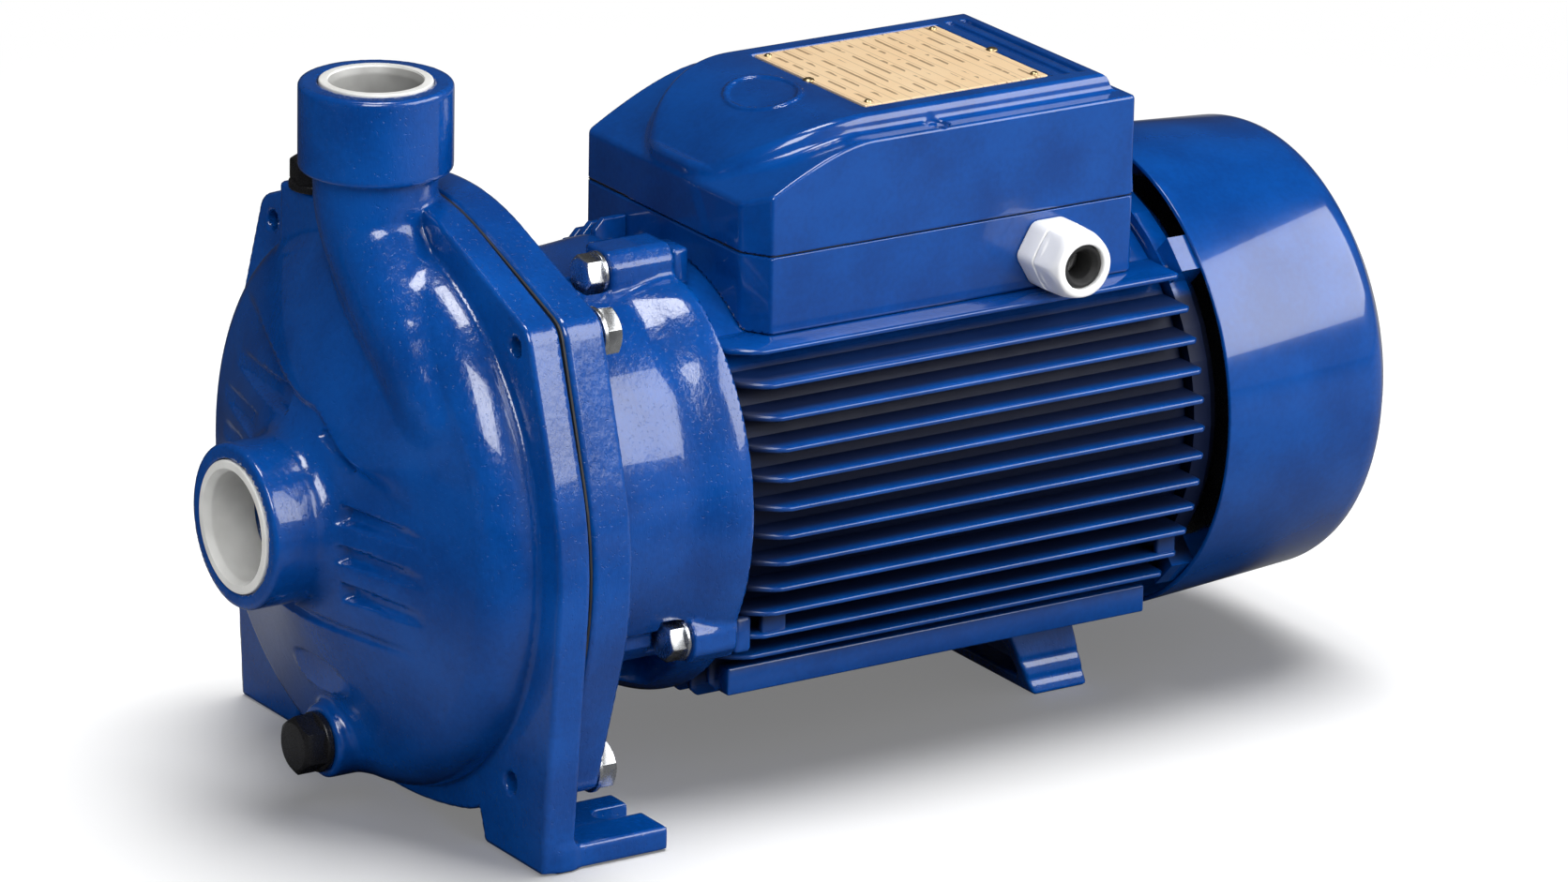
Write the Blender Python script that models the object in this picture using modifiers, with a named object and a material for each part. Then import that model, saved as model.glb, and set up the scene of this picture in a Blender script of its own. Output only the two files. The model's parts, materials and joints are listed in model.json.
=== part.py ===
"""A close-coupled centrifugal surface water pump with a finned electric motor.

Run with: blender --background --python part.py
Metres, +Z up. The shaft lies along Y, with the suction port facing -Y and the fan at +Y.
The origin is on the floor, below the middle of the pump. Stations are distances along
the shaft from the face of the suction port, and heights are measured from the shaft.
"""
import math

import bmesh
import bpy
from mathutils import Euler, Vector

MM = 0.001
GAP = 0.3 * MM

# Shaft
SHAFT_RADIUS = 8 * MM
SHAFT_CLEARANCE = 1.5 * MM

# Suction collar and shell of the pump body
SUCTION_COLLAR_RADIUS = 29.9 * MM
SUCTION_COLLAR_LENGTH = 17 * MM
SUCTION_BORE_RADIUS = 19.4 * MM
SUCTION_RING_RADIUS = 24 * MM
SUCTION_RING_LENGTH = 20 * MM
COLLAR_ROOT_FLARE = 6 * MM
DOME_HEIGHT = 22 * MM
DOME_SAG = 1.2 * MM
SHELL_RADIUS = 103 * MM
SHELL_RIM_ROUND = 12 * MM
SHELL_RIM_DEPTH = 7 * MM
SHELL_WALL = 8 * MM
PORT_EDGE_ROUND = 2 * MM
RING_STANDS_OUT = 0.6 * MM

# Raised land of the scroll, with its lower edge from left to right as (side, height)
LAND_CROWN = 2 * MM
LAND_EDGE = [(-80 * MM, 61 * MM), (-53 * MM, 58 * MM), (-25 * MM, 50 * MM), (11 * MM, 41.5 * MM),
             (26 * MM, 32 * MM), (45 * MM, 25 * MM), (80 * MM, 17 * MM)]

# Wedge pockets beside the collar: how many, first height, length and width
POCKETS = {1: (3, 10.3 * MM, 38 * MM, 5.8 * MM), -1: (4, 23.5 * MM, 50 * MM, 8 * MM)}
POCKET_PITCH = 14.2 * MM
POCKET_DEPTH = 4.6 * MM
POCKET_SLOPE = 14
POCKET_CLEARANCE = 1.5 * MM
PAD_HALF_LENGTH = 18 * MM
PAD_RADIUS = 6.5 * MM
PAD_HEIGHT = -60.5 * MM
PAD_STATION = 35.5 * MM

# Flange of the pump body, with its feet
FLANGE_THICKNESS = 13 * MM
FLANGE_LEDGE = 12 * MM
FLANGE_RADIUS = SHELL_RADIUS + FLANGE_LEDGE
FLOOR_FLAT = 6.8 * MM
AXIS_HEIGHT = FLANGE_RADIUS - FLOOR_FLAT
LUG_OVERHANG = 0.85 * MM
LUG_ANGLE = math.radians(43.67)
LUG_X = (FLANGE_RADIUS + LUG_OVERHANG) * math.cos(LUG_ANGLE)
LUG_Z = (FLANGE_RADIUS + LUG_OVERHANG) * math.sin(LUG_ANGLE)
LUG_RADIUS = 10 * MM
LUG_HOLE_RADIUS = 4.2 * MM
TOE_INSET = 9 * MM
FOOT_HALF_WIDTH = FLANGE_RADIUS - TOE_INSET
FOOT_SLOT_LAND = 10.8 * MM
FOOT_SLOT_WIDTH = 10 * MM
FOOT_SLOT_DEPTH = 17 * MM
FOOT_INNER = LUG_X - FOOT_SLOT_WIDTH / 2 - FOOT_SLOT_LAND
FOOT_PLATE_THICKNESS = 9 * MM
FOOT_REACH = 39 * MM
FOOT_HEEL = 8 * MM
FLANGE_BELLY_RISE = 8.5 * MM
FLANGE_BELLY_HALF = FOOT_INNER - FOOT_HEEL
FLANGE_BELLY_CLEARANCE = 1.2 * MM
CAST_EDGE_ROUND = 1.5 * MM

# Discharge neck and collar
DISCHARGE_AHEAD = 6.4 * MM
DISCHARGE_RISE = 52.6 * MM
DISCHARGE_HEIGHT = SHELL_RADIUS + DISCHARGE_RISE
DISCHARGE_COLLAR_RADIUS = 27.4 * MM
DISCHARGE_COLLAR_LENGTH = 31.6 * MM
DISCHARGE_BORE_RADIUS = 15.5 * MM
DISCHARGE_RING_RADIUS = 20.15 * MM
DISCHARGE_RING_LENGTH = 18 * MM
NECK_RADIUS = 21.5 * MM

# Priming and drain bosses, with their plugs
PRIMING_X = -38 * MM
PRIMING_AHEAD = 7 * MM
PRIMING_BLOCK_RISE = 3 * MM
PRIMING_BLOCK_WIDTH = 25 * MM
PRIMING_BLOCK_FACE = 8 * MM
DRAIN_BOSS_RADIUS = 13.5 * MM
DRAIN_BOSS_LENGTH = 28 * MM
DRAIN_INSET = 16.4 * MM
PLUG_ACROSS_FLATS = 19 * MM
PLUG_HEAD_HEIGHT = 8.5 * MM
PLUG_COLLAR_RADIUS = 11 * MM
PLUG_COLLAR_HEIGHT = 2.5 * MM
PLUG_SHANK_RADIUS = 6.5 * MM
PLUG_SHANK_LENGTH = 12 * MM

# Radii of the motor's core and fins
CORE_RADIUS = 74 * MM
FIN_DEPTH = 14 * MM
FIN_RADIUS = CORE_RADIUS + FIN_DEPTH

# Gasket and motor bracket
GASKET_THICKNESS = 0.8 * MM
PLATE_THICKNESS = 16.4 * MM
PLATE_STEP = 1 * MM
PLATE_RADIUS = FLANGE_RADIUS - PLATE_STEP
SKIRT_LENGTH = 68.2 * MM
SKIRT_RADIUS = CORE_RADIUS + 5 * MM
SKIRT_FLAT = 3 * MM
SKIRT_END_RADIUS = FIN_RADIUS - 2.5 * MM
SKIRT_END_FLARE = 24 * MM
SKIRT_ROOT_FLARE = 6 * MM
SKIRT_WALL = 7 * MM
BEARING_WALL = 9 * MM
HUB_RADIUS = 30 * MM
HUB_LENGTH = 14 * MM
WINDOW_WIDTH = 30 * MM
WINDOW_MARGIN = 10 * MM
WINDOW_ANGLE = 56
SLINGER_RADIUS = 20 * MM
SLINGER_THICKNESS = 3 * MM
SLINGER_BEHIND_PLATE = 30.2 * MM

# Hexagon bolts; each motor bolt has its angle round the shaft and the length of its lug
BOLT_RADIUS = 4 * MM
BODY_BOLT_ACROSS_FLATS = 16 * MM
MOTOR_BOLT_ACROSS_FLATS = 13 * MM
BOLT_HEAD_HEIGHT = 6.5 * MM
WASHER_OVERHANG = 1.2 * MM
WASHER_THICKNESS = 1.6 * MM
SPOT_FACE_CLEARANCE = 0.4 * MM
SPOT_FACE_LENGTH = 14 * MM
BODY_BOLT_GRIP = 9 * MM
MOTOR_BOLT_OUTSIDE_CORE = 7 * MM
MOTOR_BOLTS = {"top": (75, 26 * MM), "right": (-35, 18 * MM), "left": (200, 18 * MM)}
MOTOR_LUG_WIDTH = 19 * MM
MOTOR_LUG_HEIGHT = 17 * MM
MOTOR_PAD_LENGTH = 14 * MM
MOTOR_BOLT_GRIP = 8 * MM

# Motor housing with its fins
FIN_LENGTH = 191 * MM
FINS_BEHIND_BRACKET = 2 * MM
FIN_PITCH = 10.5 * MM
LOWEST_FIN_INSET = 8 * MM
FIN_THICKNESS = 2.6 * MM
FIN_END_SLOPE = 11 * MM
BOTTOM_FIN_COUNT = 5
BOTTOM_FIN_PITCH = 10 * MM
BOTTOM_FIN_DROP = FIN_RADIUS - 4 * MM
TOP_FIN_COUNT = 4
TOP_FIN_PITCH = 8.3 * MM
TOP_FIN_FIRST = 30 * MM
TOP_FIN_RADIUS = FIN_RADIUS - 3 * MM
TOP_FIN_LENGTH = 14 * MM
RAIL_SPREAD = 18 * MM
RAIL_WIDTH = 6 * MM
RAIL_TOP = 6 * MM - CORE_RADIUS
RAIL_LEDGE = 4 * MM
RAIL_HEIGHT = 9 * MM
RAIL_SETBACK = 8 * MM
TIE_PAD_LENGTH = 8 * MM
TIE_PAD_THICKNESS = 3 * MM
TIED_FINS = (-3, -2)

# Rear foot
REAR_FOOT_AHEAD = 41 * MM
REAR_FOOT_LENGTH = 25 * MM
REAR_FOOT_LEAN = 7 * MM
REAR_FOOT_HALF_TOP = 34 * MM
REAR_FOOT_HALF_WIDTH = 40 * MM
REAR_FOOT_WALL = 6 * MM

# End shield, fan and cover
SHIELD_RADIUS = CORE_RADIUS + 5 * MM
SHIELD_THICKNESS = 12 * MM
COVER_EAR_WIDTH = 14 * MM
COVER_BEHIND_FINS = 8.7 * MM
COVER_FRONT_RADIUS = FIN_RADIUS + 1.5 * MM
COVER_TAPER = 4.7 * MM
COVER_LENGTH = 82.3 * MM
COVER_CREASE_AHEAD = 14 * MM
COVER_WALL = 1.8 * MM
COVER_END_STEP = 14.8 * MM
GRILLE_RING_COUNT = 2
GRILLE_INNER = 24 * MM
GRILLE_SLOT_WIDTH = 12 * MM
GRILLE_BAR = 9 * MM
GRILLE_SPOKES = 6
GRILLE_SPOKE_WIDTH = 5 * MM
GRILLE_ARC_STEPS = 3
FAN_CLEARANCE = 15 * MM
FAN_SETBACK = 27.3 * MM
FAN_LENGTH = 24 * MM
FAN_BLADES = 7
FAN_BLADE_THICKNESS = 2 * MM
FAN_HUB_RADIUS = 17 * MM
FAN_DISC_THICKNESS = 3 * MM

# Terminal box
BOX_HALF_WIDTH = 57 * MM
BOX_BEHIND_FINS_FRONT = 14.6 * MM
BOX_AHEAD_OF_FINS_END = 14.4 * MM
BOX_SUNK = 17.1 * MM
BOX_BOTTOM = CORE_RADIUS - BOX_SUNK
BASE_HEIGHT = 28.4 * MM
BOX_CORNER_X = 10.9 * MM
BOX_CORNER_Y = 6.9 * MM
SEAM_THICKNESS = 0.4 * MM
SEAM_INSET = 0.6 * MM
SADDLE_INSET = 2 * MM
SADDLE_SETBACK = 3 * MM
LID_FRONT_HEIGHT = 18.7 * MM
LID_SHELF_HEIGHT = 37.7 * MM
LID_SHELF_BEND = 32.4 * MM
LID_SHELF_RUN = 49.4 * MM
LID_PLATEAU_HEIGHT = 43.7 * MM
LID_PLATEAU_INSET = 11 * MM
LID_PLATEAU_SETBACK = 4.4 * MM
LID_PLATEAU_MARGIN = 5.6 * MM
LID_PLATEAU_BEND = 28.4 * MM
LID_PLATEAU_RUN = 53.4 * MM
LID_PLATEAU_NOSE = 25.7 * MM
LID_GROOVES = (6.6 * MM, 12.4 * MM)
LID_GROOVE_WIDTH = 2 * MM
LID_GROOVE_DEPTH = 1.5 * MM
LID_SCREW_INSET = 5.5 * MM
LID_SCREW_SETBACK = 79.4 * MM
LID_SCREW_RADIUS = 2.6 * MM
PLATE_HALF_X = 36.5 * MM
PLATE_LENGTH = 78.5 * MM
PLATE_BEHIND_BOX_FRONT = 58.4 * MM
PLATE_SHEET = 0.8 * MM
PLATE_RECESS = 1.2 * MM

# Cable gland
GLAND_AHEAD = 37.6 * MM
GLAND_RISE = 13.6 * MM
GLAND_ACROSS_FLATS = 24 * MM
GLAND_HEX_LENGTH = 10 * MM
GLAND_NUT_LENGTH = 14 * MM
GLAND_SHANK_RADIUS = 8 * MM
GLAND_SHANK_LENGTH = 11 * MM
GLAND_BORE_RADIUS = 5 * MM
GLAND_SEAL_RADIUS = 8 * MM

# Colour, roughness and metallic value of each finish
FINISHES = {
    "blue_gloss": ((0.012, 0.075, 0.32, 1), 0.22, 0.0),
    "port_white": ((0.80, 0.80, 0.78, 1), 0.45, 0.0),
    "black_plastic": ((0.015, 0.015, 0.017, 1), 0.35, 0.0),
    "black_rubber": ((0.02, 0.02, 0.02, 1), 0.7, 0.0),
    "zinc_steel": ((0.62, 0.63, 0.65, 1), 0.3, 1.0),
    "bare_steel": ((0.45, 0.45, 0.46, 1), 0.35, 1.0),
    "brass": ((0.72, 0.5, 0.22, 1), 0.35, 1.0),
    "white_nylon": ((0.85, 0.85, 0.86, 1), 0.4, 0.0),
}

# Stations along the shaft, from front to back
DOME_START = SUCTION_COLLAR_LENGTH + COLLAR_ROOT_FLARE
FLANGE_STATION = DOME_START + DOME_HEIGHT + SHELL_RIM_ROUND + SHELL_RIM_DEPTH
FLANGE_BACK = FLANGE_STATION + FLANGE_THICKNESS
DISCHARGE_STATION = FLANGE_STATION - DISCHARGE_AHEAD
PRIMING_STATION = FLANGE_STATION - PRIMING_AHEAD
PRIMING_BLOCK_FRONT = PRIMING_STATION - PRIMING_BLOCK_FACE
DRAIN_BOSS_FRONT = FLANGE_STATION - DRAIN_BOSS_LENGTH
PLATE_STATION = FLANGE_BACK + 2 * GAP + GASKET_THICKNESS
PLATE_BACK = PLATE_STATION + PLATE_THICKNESS
SLINGER_STATION = PLATE_BACK + SLINGER_BEHIND_PLATE
BRACKET_END = PLATE_BACK + SKIRT_LENGTH
HOUSING_FRONT = BRACKET_END + GAP
FINS_FRONT = BRACKET_END + FINS_BEHIND_BRACKET
FINS_END = FINS_FRONT + FIN_LENGTH
REAR_FOOT_STATION = FINS_END - REAR_FOOT_AHEAD
COVER_FRONT = FINS_END + COVER_BEHIND_FINS
FAN_STATION = COVER_FRONT + FAN_SETBACK
COVER_END = COVER_FRONT + COVER_LENGTH
COVER_CREASE = COVER_END - COVER_CREASE_AHEAD
BOX_FRONT = FINS_FRONT + BOX_BEHIND_FINS_FRONT
BOX_END = FINS_END - BOX_AHEAD_OF_FINS_END
PLATE_FRONT = BOX_FRONT + PLATE_BEHIND_BOX_FRONT
PLATE_END = PLATE_FRONT + PLATE_LENGTH
GLAND_STATION = BOX_END - GLAND_AHEAD

# Radii and heights that follow from the pieces they meet
CHAMBER_RADIUS = SHELL_RADIUS - SHELL_RIM_ROUND - SHELL_WALL
PRIMING_BLOCK_TOP = SHELL_RADIUS + PRIMING_BLOCK_RISE
DRAIN_HEIGHT = DRAIN_INSET - SHELL_RADIUS
MOTOR_BOLT_CIRCLE = CORE_RADIUS + MOTOR_BOLT_OUTSIDE_CORE
RAIL_OUTER = CORE_RADIUS - RAIL_SPREAD
COVER_REAR_RADIUS = COVER_FRONT_RADIUS - COVER_TAPER
COVER_END_RADIUS = COVER_REAR_RADIUS - COVER_END_STEP
FAN_RADIUS = COVER_REAR_RADIUS - COVER_WALL - FAN_CLEARANCE
FIN_TOP = BOX_BOTTOM - GAP - FIN_THICKNESS / 2
BASE_TOP = BOX_BOTTOM + BASE_HEIGHT
BOX_SEAM = BASE_TOP + GAP
LID_BOTTOM = BOX_SEAM + SEAM_THICKNESS + GAP
LID_FRONT_TOP = BASE_TOP + LID_FRONT_HEIGHT
LID_SHELF_TOP = BASE_TOP + LID_SHELF_HEIGHT
LID_PLATEAU_TOP = BASE_TOP + LID_PLATEAU_HEIGHT
LID_PLATEAU_HALF = BOX_HALF_WIDTH - LID_PLATEAU_INSET
GLAND_HEIGHT = BOX_BOTTOM + GLAND_RISE
FRONT_Y = -COVER_END / 2
FLOOR = -AXIS_HEIGHT


def collection(title):
    """A new collection in the scene."""
    home = bpy.data.collections.new(title)
    bpy.context.scene.collection.children.link(home)
    return home


def finish(thing, name):
    """Give an object its own Principled material."""
    colour, roughness, metallic = FINISHES[name]
    material = bpy.data.materials.new(thing.name + "_" + name)
    material.use_nodes = True
    shader = material.node_tree.nodes["Principled BSDF"]
    shader.inputs["Base Color"].default_value = colour
    shader.inputs["Roughness"].default_value = roughness
    shader.inputs["Metallic"].default_value = metallic
    thing.data.materials.clear()
    thing.data.materials.append(material)


def place(station, x=0.0, height=0.0):
    """The world position of a point given by its station, side and height."""
    return Vector((x, FRONT_Y + station, AXIS_HEIGHT + height))


def link(name, mesh, at=(0, 0, 0), turn=(0, 0, 0)):
    """A new object, in the collection of cutters until it is kept as a part."""
    thing = bpy.data.objects.new(name, mesh)
    thing.location = at
    thing.rotation_euler = turn
    thing.hide_render = True
    thing.display_type = "WIRE"
    tools.objects.link(thing)
    return thing


def keep(thing, finish_name):
    """Make an object one of the pump's parts."""
    tools.objects.unlink(thing)
    parts.objects.link(thing)
    thing.hide_render = False
    thing.display_type = "TEXTURED"
    thing.data.set_sharp_from_angle(angle=math.radians(32))
    finish(thing, finish_name)
    return thing


def boolean(thing, operation, *others):
    """Join, cut or intersect an object with others, in turn."""
    for other in others:
        step = thing.modifiers.new(other.name, "BOOLEAN")
        step.operation = operation
        step.object = other
        step.solver = "EXACT"
    return thing


def join(thing, *others):
    return boolean(thing, "UNION", *others)


def cut(thing, *others):
    return boolean(thing, "DIFFERENCE", *others)


def soften(thing, width, segments=1, angle=40):
    """Round the sharp edges of an object."""
    bevel = thing.modifiers.new("edges", "BEVEL")
    bevel.width = width
    bevel.segments = segments
    bevel.limit_method = "ANGLE"
    bevel.angle_limit = math.radians(angle)
    return thing


def shaded(mesh):
    mesh.shade_smooth()
    return mesh


def block(name, low, high):
    """A box between two corners, each given as x, station and height."""
    form = bmesh.new()
    bmesh.ops.create_cube(form, size=1)
    mesh = bpy.data.meshes.new(name)
    size = Vector(high) - Vector(low)
    bmesh.ops.scale(form, vec=size, verts=form.verts)
    form.to_mesh(mesh)
    form.free()
    middle = (Vector(high) + Vector(low)) / 2
    return link(name, mesh, place(middle.y, middle.x, middle.z))


def pointing(turn):
    """The direction that a form's own Z points to after a turn."""
    return Euler(turn).to_matrix() @ Vector((0, 0, 1))


# Turns that lay a form made along its own Z: facing forward, backward, right or left
FORWARD = (math.pi / 2, 0, 0)
BACKWARD = (-math.pi / 2, 0, 0)
RIGHT = (0, math.pi / 2, 0)
UP = (0, 0, 0)


def rod(name, radius, length, at, turn=UP, sides=32, end_radius=None):
    """A cylinder or cone that starts at a point and runs along its turned Z."""
    form = bmesh.new()
    bmesh.ops.create_cone(form, cap_ends=True, segments=sides, radius1=radius,
                          radius2=radius if end_radius is None else end_radius, depth=length)
    bmesh.ops.translate(form, vec=(0, 0, length / 2), verts=form.verts)
    mesh = bpy.data.meshes.new(name)
    form.to_mesh(mesh)
    form.free()
    return link(name, shaded(mesh), at, turn)


def arc(x, y, radius, start, end, steps):
    """Points along an arc, from one angle to another, in degrees."""
    angles = (start + (end - start) * i / steps for i in range(steps + 1))
    return [(x + radius * math.cos(math.radians(a)), y + radius * math.sin(math.radians(a)))
            for a in angles]


def turned(name, profile, steps=64, closed=False, at=None, turn=FORWARD):
    """A turned form from a profile of (radius, station) points, front to back.

    The profile runs down the outer side. A closed profile makes a ring.
    """
    mesh = bpy.data.meshes.new(name)
    points = [(radius, 0, -station) for radius, station in profile]
    edges = [(i, i + 1) for i in range(len(points) - 1)]
    if closed:
        edges.append((len(points) - 1, 0))
    mesh.from_pydata(points, edges, [])
    thing = link(name, mesh, place(0) if at is None else at, turn)
    screw = thing.modifiers.new("turn", "SCREW")
    screw.axis = "Z"
    screw.steps = steps
    screw.render_steps = steps
    screw.use_smooth_shade = True
    screw.use_merge_vertices = True
    screw.merge_threshold = 0.00001
    return thing


def baked(name, source):
    """A mesh object with the evaluated shape of a curve or a modified object."""
    bpy.context.view_layer.update()
    shape = source.evaluated_get(bpy.context.evaluated_depsgraph_get())
    mesh = bpy.data.meshes.new_from_object(shape)
    form = bmesh.new()
    form.from_mesh(mesh)
    bmesh.ops.remove_doubles(form, verts=form.verts, dist=0.00001)
    bmesh.ops.recalc_face_normals(form, faces=form.faces)
    form.to_mesh(mesh)
    form.free()
    solid = link(name, shaded(mesh))
    solid.matrix_world = source.matrix_world.copy()
    data = source.data
    bpy.data.objects.remove(source)
    if isinstance(data, bpy.types.Curve):
        bpy.data.curves.remove(data)
    return solid


def slab(name, outline, thickness, at, turn=FORWARD):
    """A flat outline given a thickness, centred on its own plane."""
    curve = bpy.data.curves.new(name + "_outline", "CURVE")
    curve.dimensions = "2D"
    curve.fill_mode = "BOTH"
    curve.extrude = thickness / 2
    spline = curve.splines.new("POLY")
    spline.points.add(len(outline) - 1)
    for point, (x, y) in zip(spline.points, outline):
        point.co = (x, y, 0, 1)
    spline.use_cyclic_u = True
    return baked(name, link(name + "_outline", curve, at, turn))


def swept(name, route, radii, sides=3):
    """A round tube along a smooth route of world points, with a radius at each."""
    curve = bpy.data.curves.new(name + "_route", "CURVE")
    curve.dimensions = "3D"
    curve.bevel_depth = 1
    curve.bevel_resolution = sides
    curve.use_fill_caps = True
    curve.resolution_u = 4
    spline = curve.splines.new("BEZIER")
    spline.bezier_points.add(len(route) - 1)
    for point, centre, radius in zip(spline.bezier_points, route, radii):
        point.co = centre
        point.radius = radius
        point.handle_left_type = "AUTO"
        point.handle_right_type = "AUTO"
    return baked(name, link(name + "_route", curve))


def mirrored(points):
    """An outline made whole from its right half, which runs from top to bottom."""
    return points + [(-x, y) for x, y in reversed(points) if x > 1e-9]


def tangent_angles(x, y, small, large):
    """Where a line that touches two circles leaves them, to either side, in degrees.

    The large circle is at the origin and the small one at x, y.
    """
    spread = math.degrees(math.acos((large - small) / math.hypot(x, y)))
    middle = math.degrees(math.atan2(y, x))
    return middle + spread, middle - spread


def belly(radius_half, rise, bottom, steps=5):
    """The shallow arc below a flange, from its right end to the middle."""
    radius = (radius_half ** 2 + rise ** 2) / (2 * rise)
    reach = math.degrees(math.asin(radius_half / radius))
    return arc(0, bottom + radius, radius, -90 + reach, -90, steps)


def flange_half(radius):
    """The right side of the flange from the top to below its widest point."""
    upper, lower = tangent_angles(LUG_X, LUG_Z, LUG_RADIUS, radius)
    points = arc(0, 0, radius, 90, upper, 5)
    points += arc(LUG_X, LUG_Z, LUG_RADIUS, upper, lower, 3)
    return points, lower


def body_outline():
    """The flange of the pump body with its two feet."""
    points, lower = flange_half(FLANGE_RADIUS)
    toe = (FOOT_HALF_WIDTH, FLOOR)
    reach = math.hypot(*toe)
    leave = math.degrees(math.atan2(toe[1], toe[0]) + math.acos(FLANGE_RADIUS / reach))
    points += arc(0, 0, FLANGE_RADIUS, lower, leave, 6)
    points.append(toe)
    points.append((FOOT_INNER, FLOOR))
    points.append((FOOT_INNER - 1.5 * MM, FLOOR + 4 * MM))
    points += belly(FLANGE_BELLY_HALF, FLANGE_BELLY_RISE, FLOOR + FLANGE_BELLY_CLEARANCE)
    return mirrored(points)


def bracket_outline():
    """The plate of the motor bracket, with a lug at each corner."""
    points, lower = flange_half(PLATE_RADIUS)
    points += arc(0, 0, PLATE_RADIUS, lower, -lower, 7)
    points += arc(LUG_X, -LUG_Z, LUG_RADIUS, -lower, -95, 3)
    points += belly(FLANGE_BELLY_HALF, FLANGE_BELLY_RISE, FLOOR + 2 * FLANGE_BELLY_CLEARANCE)
    return mirrored(points)


def dome_curve(crown, start, end, steps):
    """Points over the dome between two fractions of its width, crowned forward."""
    inner = SUCTION_COLLAR_RADIUS + COLLAR_ROOT_FLARE
    width = SHELL_RADIUS - SHELL_RIM_ROUND - inner
    fractions = [start + (end - start) * i / steps for i in range(steps + 1)]
    return [(inner + width * t, DOME_START + DOME_HEIGHT * t - crown * math.sin(math.pi * t))
            for t in fractions]


def shell_profile():
    """The collar, its root, the domed face and the rim, from front to back."""
    r, s = SUCTION_COLLAR_RADIUS, RING_STANDS_OUT
    points = [(0, s), (r - PORT_EDGE_ROUND, s)]
    points += [(r - PORT_EDGE_ROUND + x, s + PORT_EDGE_ROUND - y)
               for x, y in arc(0, 0, PORT_EDGE_ROUND, 90, 0, 2)][1:]
    root = SUCTION_COLLAR_LENGTH
    points.append((r, root))
    points += [(r + COLLAR_ROOT_FLARE - x, root + y)
               for x, y in arc(0, 0, COLLAR_ROOT_FLARE, 0, 90, 3)][1:]
    points += dome_curve(-DOME_SAG, 0, 1, 4)[1:]
    points += [(SHELL_RADIUS - SHELL_RIM_ROUND + x, DOME_START + DOME_HEIGHT + SHELL_RIM_ROUND - y)
               for x, y in arc(0, 0, SHELL_RIM_ROUND, 75, 0, 4)]
    inside = FLANGE_STATION + FLANGE_THICKNESS / 2
    points += [(SHELL_RADIUS, inside), (0, inside)]
    return points


def chamber_profile():
    """The hollow for the impeller, a wall's thickness inside the dome."""
    start = DOME_START + SHELL_WALL
    slope = DOME_HEIGHT / (SHELL_RADIUS - SHELL_RIM_ROUND - SUCTION_COLLAR_RADIUS)
    front = start + slope * SUCTION_BORE_RADIUS
    return [(0, front), (SUCTION_BORE_RADIUS, front), (CHAMBER_RADIUS, start + DOME_HEIGHT),
            (CHAMBER_RADIUS, FLANGE_BACK + MM), (0, FLANGE_BACK + MM)]


def scroll_land():
    """The raised land over the upper part of the dome, above its wavy lower edge."""
    curve = dome_curve(LAND_CROWN, 0.02, 0.98, 4)
    back = FLANGE_STATION - MM
    land = turned("scroll_land", curve + [(curve[-1][0], back), (curve[0][0], back)],
                  steps=36, closed=True)
    outline = LAND_EDGE + [(LAND_EDGE[-1][0], SHELL_RADIUS), (LAND_EDGE[0][0], SHELL_RADIUS)]
    return boolean(land, "INTERSECT", slab("land_plan", outline, 2 * FLANGE_STATION,
                                           place(FLANGE_STATION)))


def stadium(half_length, radius, steps=6):
    """A flat outline with straight sides and round ends, centred on the origin."""
    return arc(half_length - radius, 0, radius, -90, 90, steps) + \
        arc(radius - half_length, 0, radius, 90, 270, steps)


def face_pocket(side, height, length, width):
    """The cutter of one pocket: a round-ended slot whose floor rises towards the rim."""
    slope = math.radians(POCKET_SLOPE)
    reach = SUCTION_COLLAR_RADIUS + POCKET_CLEARANCE
    outline = [(side * (x + length / 2), y) for x, y in stadium(length / 2, width / 2)]
    depth = 2 * POCKET_DEPTH
    floor = DOME_START + POCKET_DEPTH
    return slab("face_pocket", outline, depth,
                place(floor - depth / 2 * math.cos(slope), side * (reach + depth / 2 * math.sin(slope)),
                      height), (math.pi / 2, 0, side * slope))


def shell_pad(front, back):
    """The oval pad low on the dome, as a block between two stations."""
    return slab("oval_pad", stadium(PAD_HALF_LENGTH, PAD_RADIUS), back - front,
                place((front + back) / 2, 0, PAD_HEIGHT))


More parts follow.
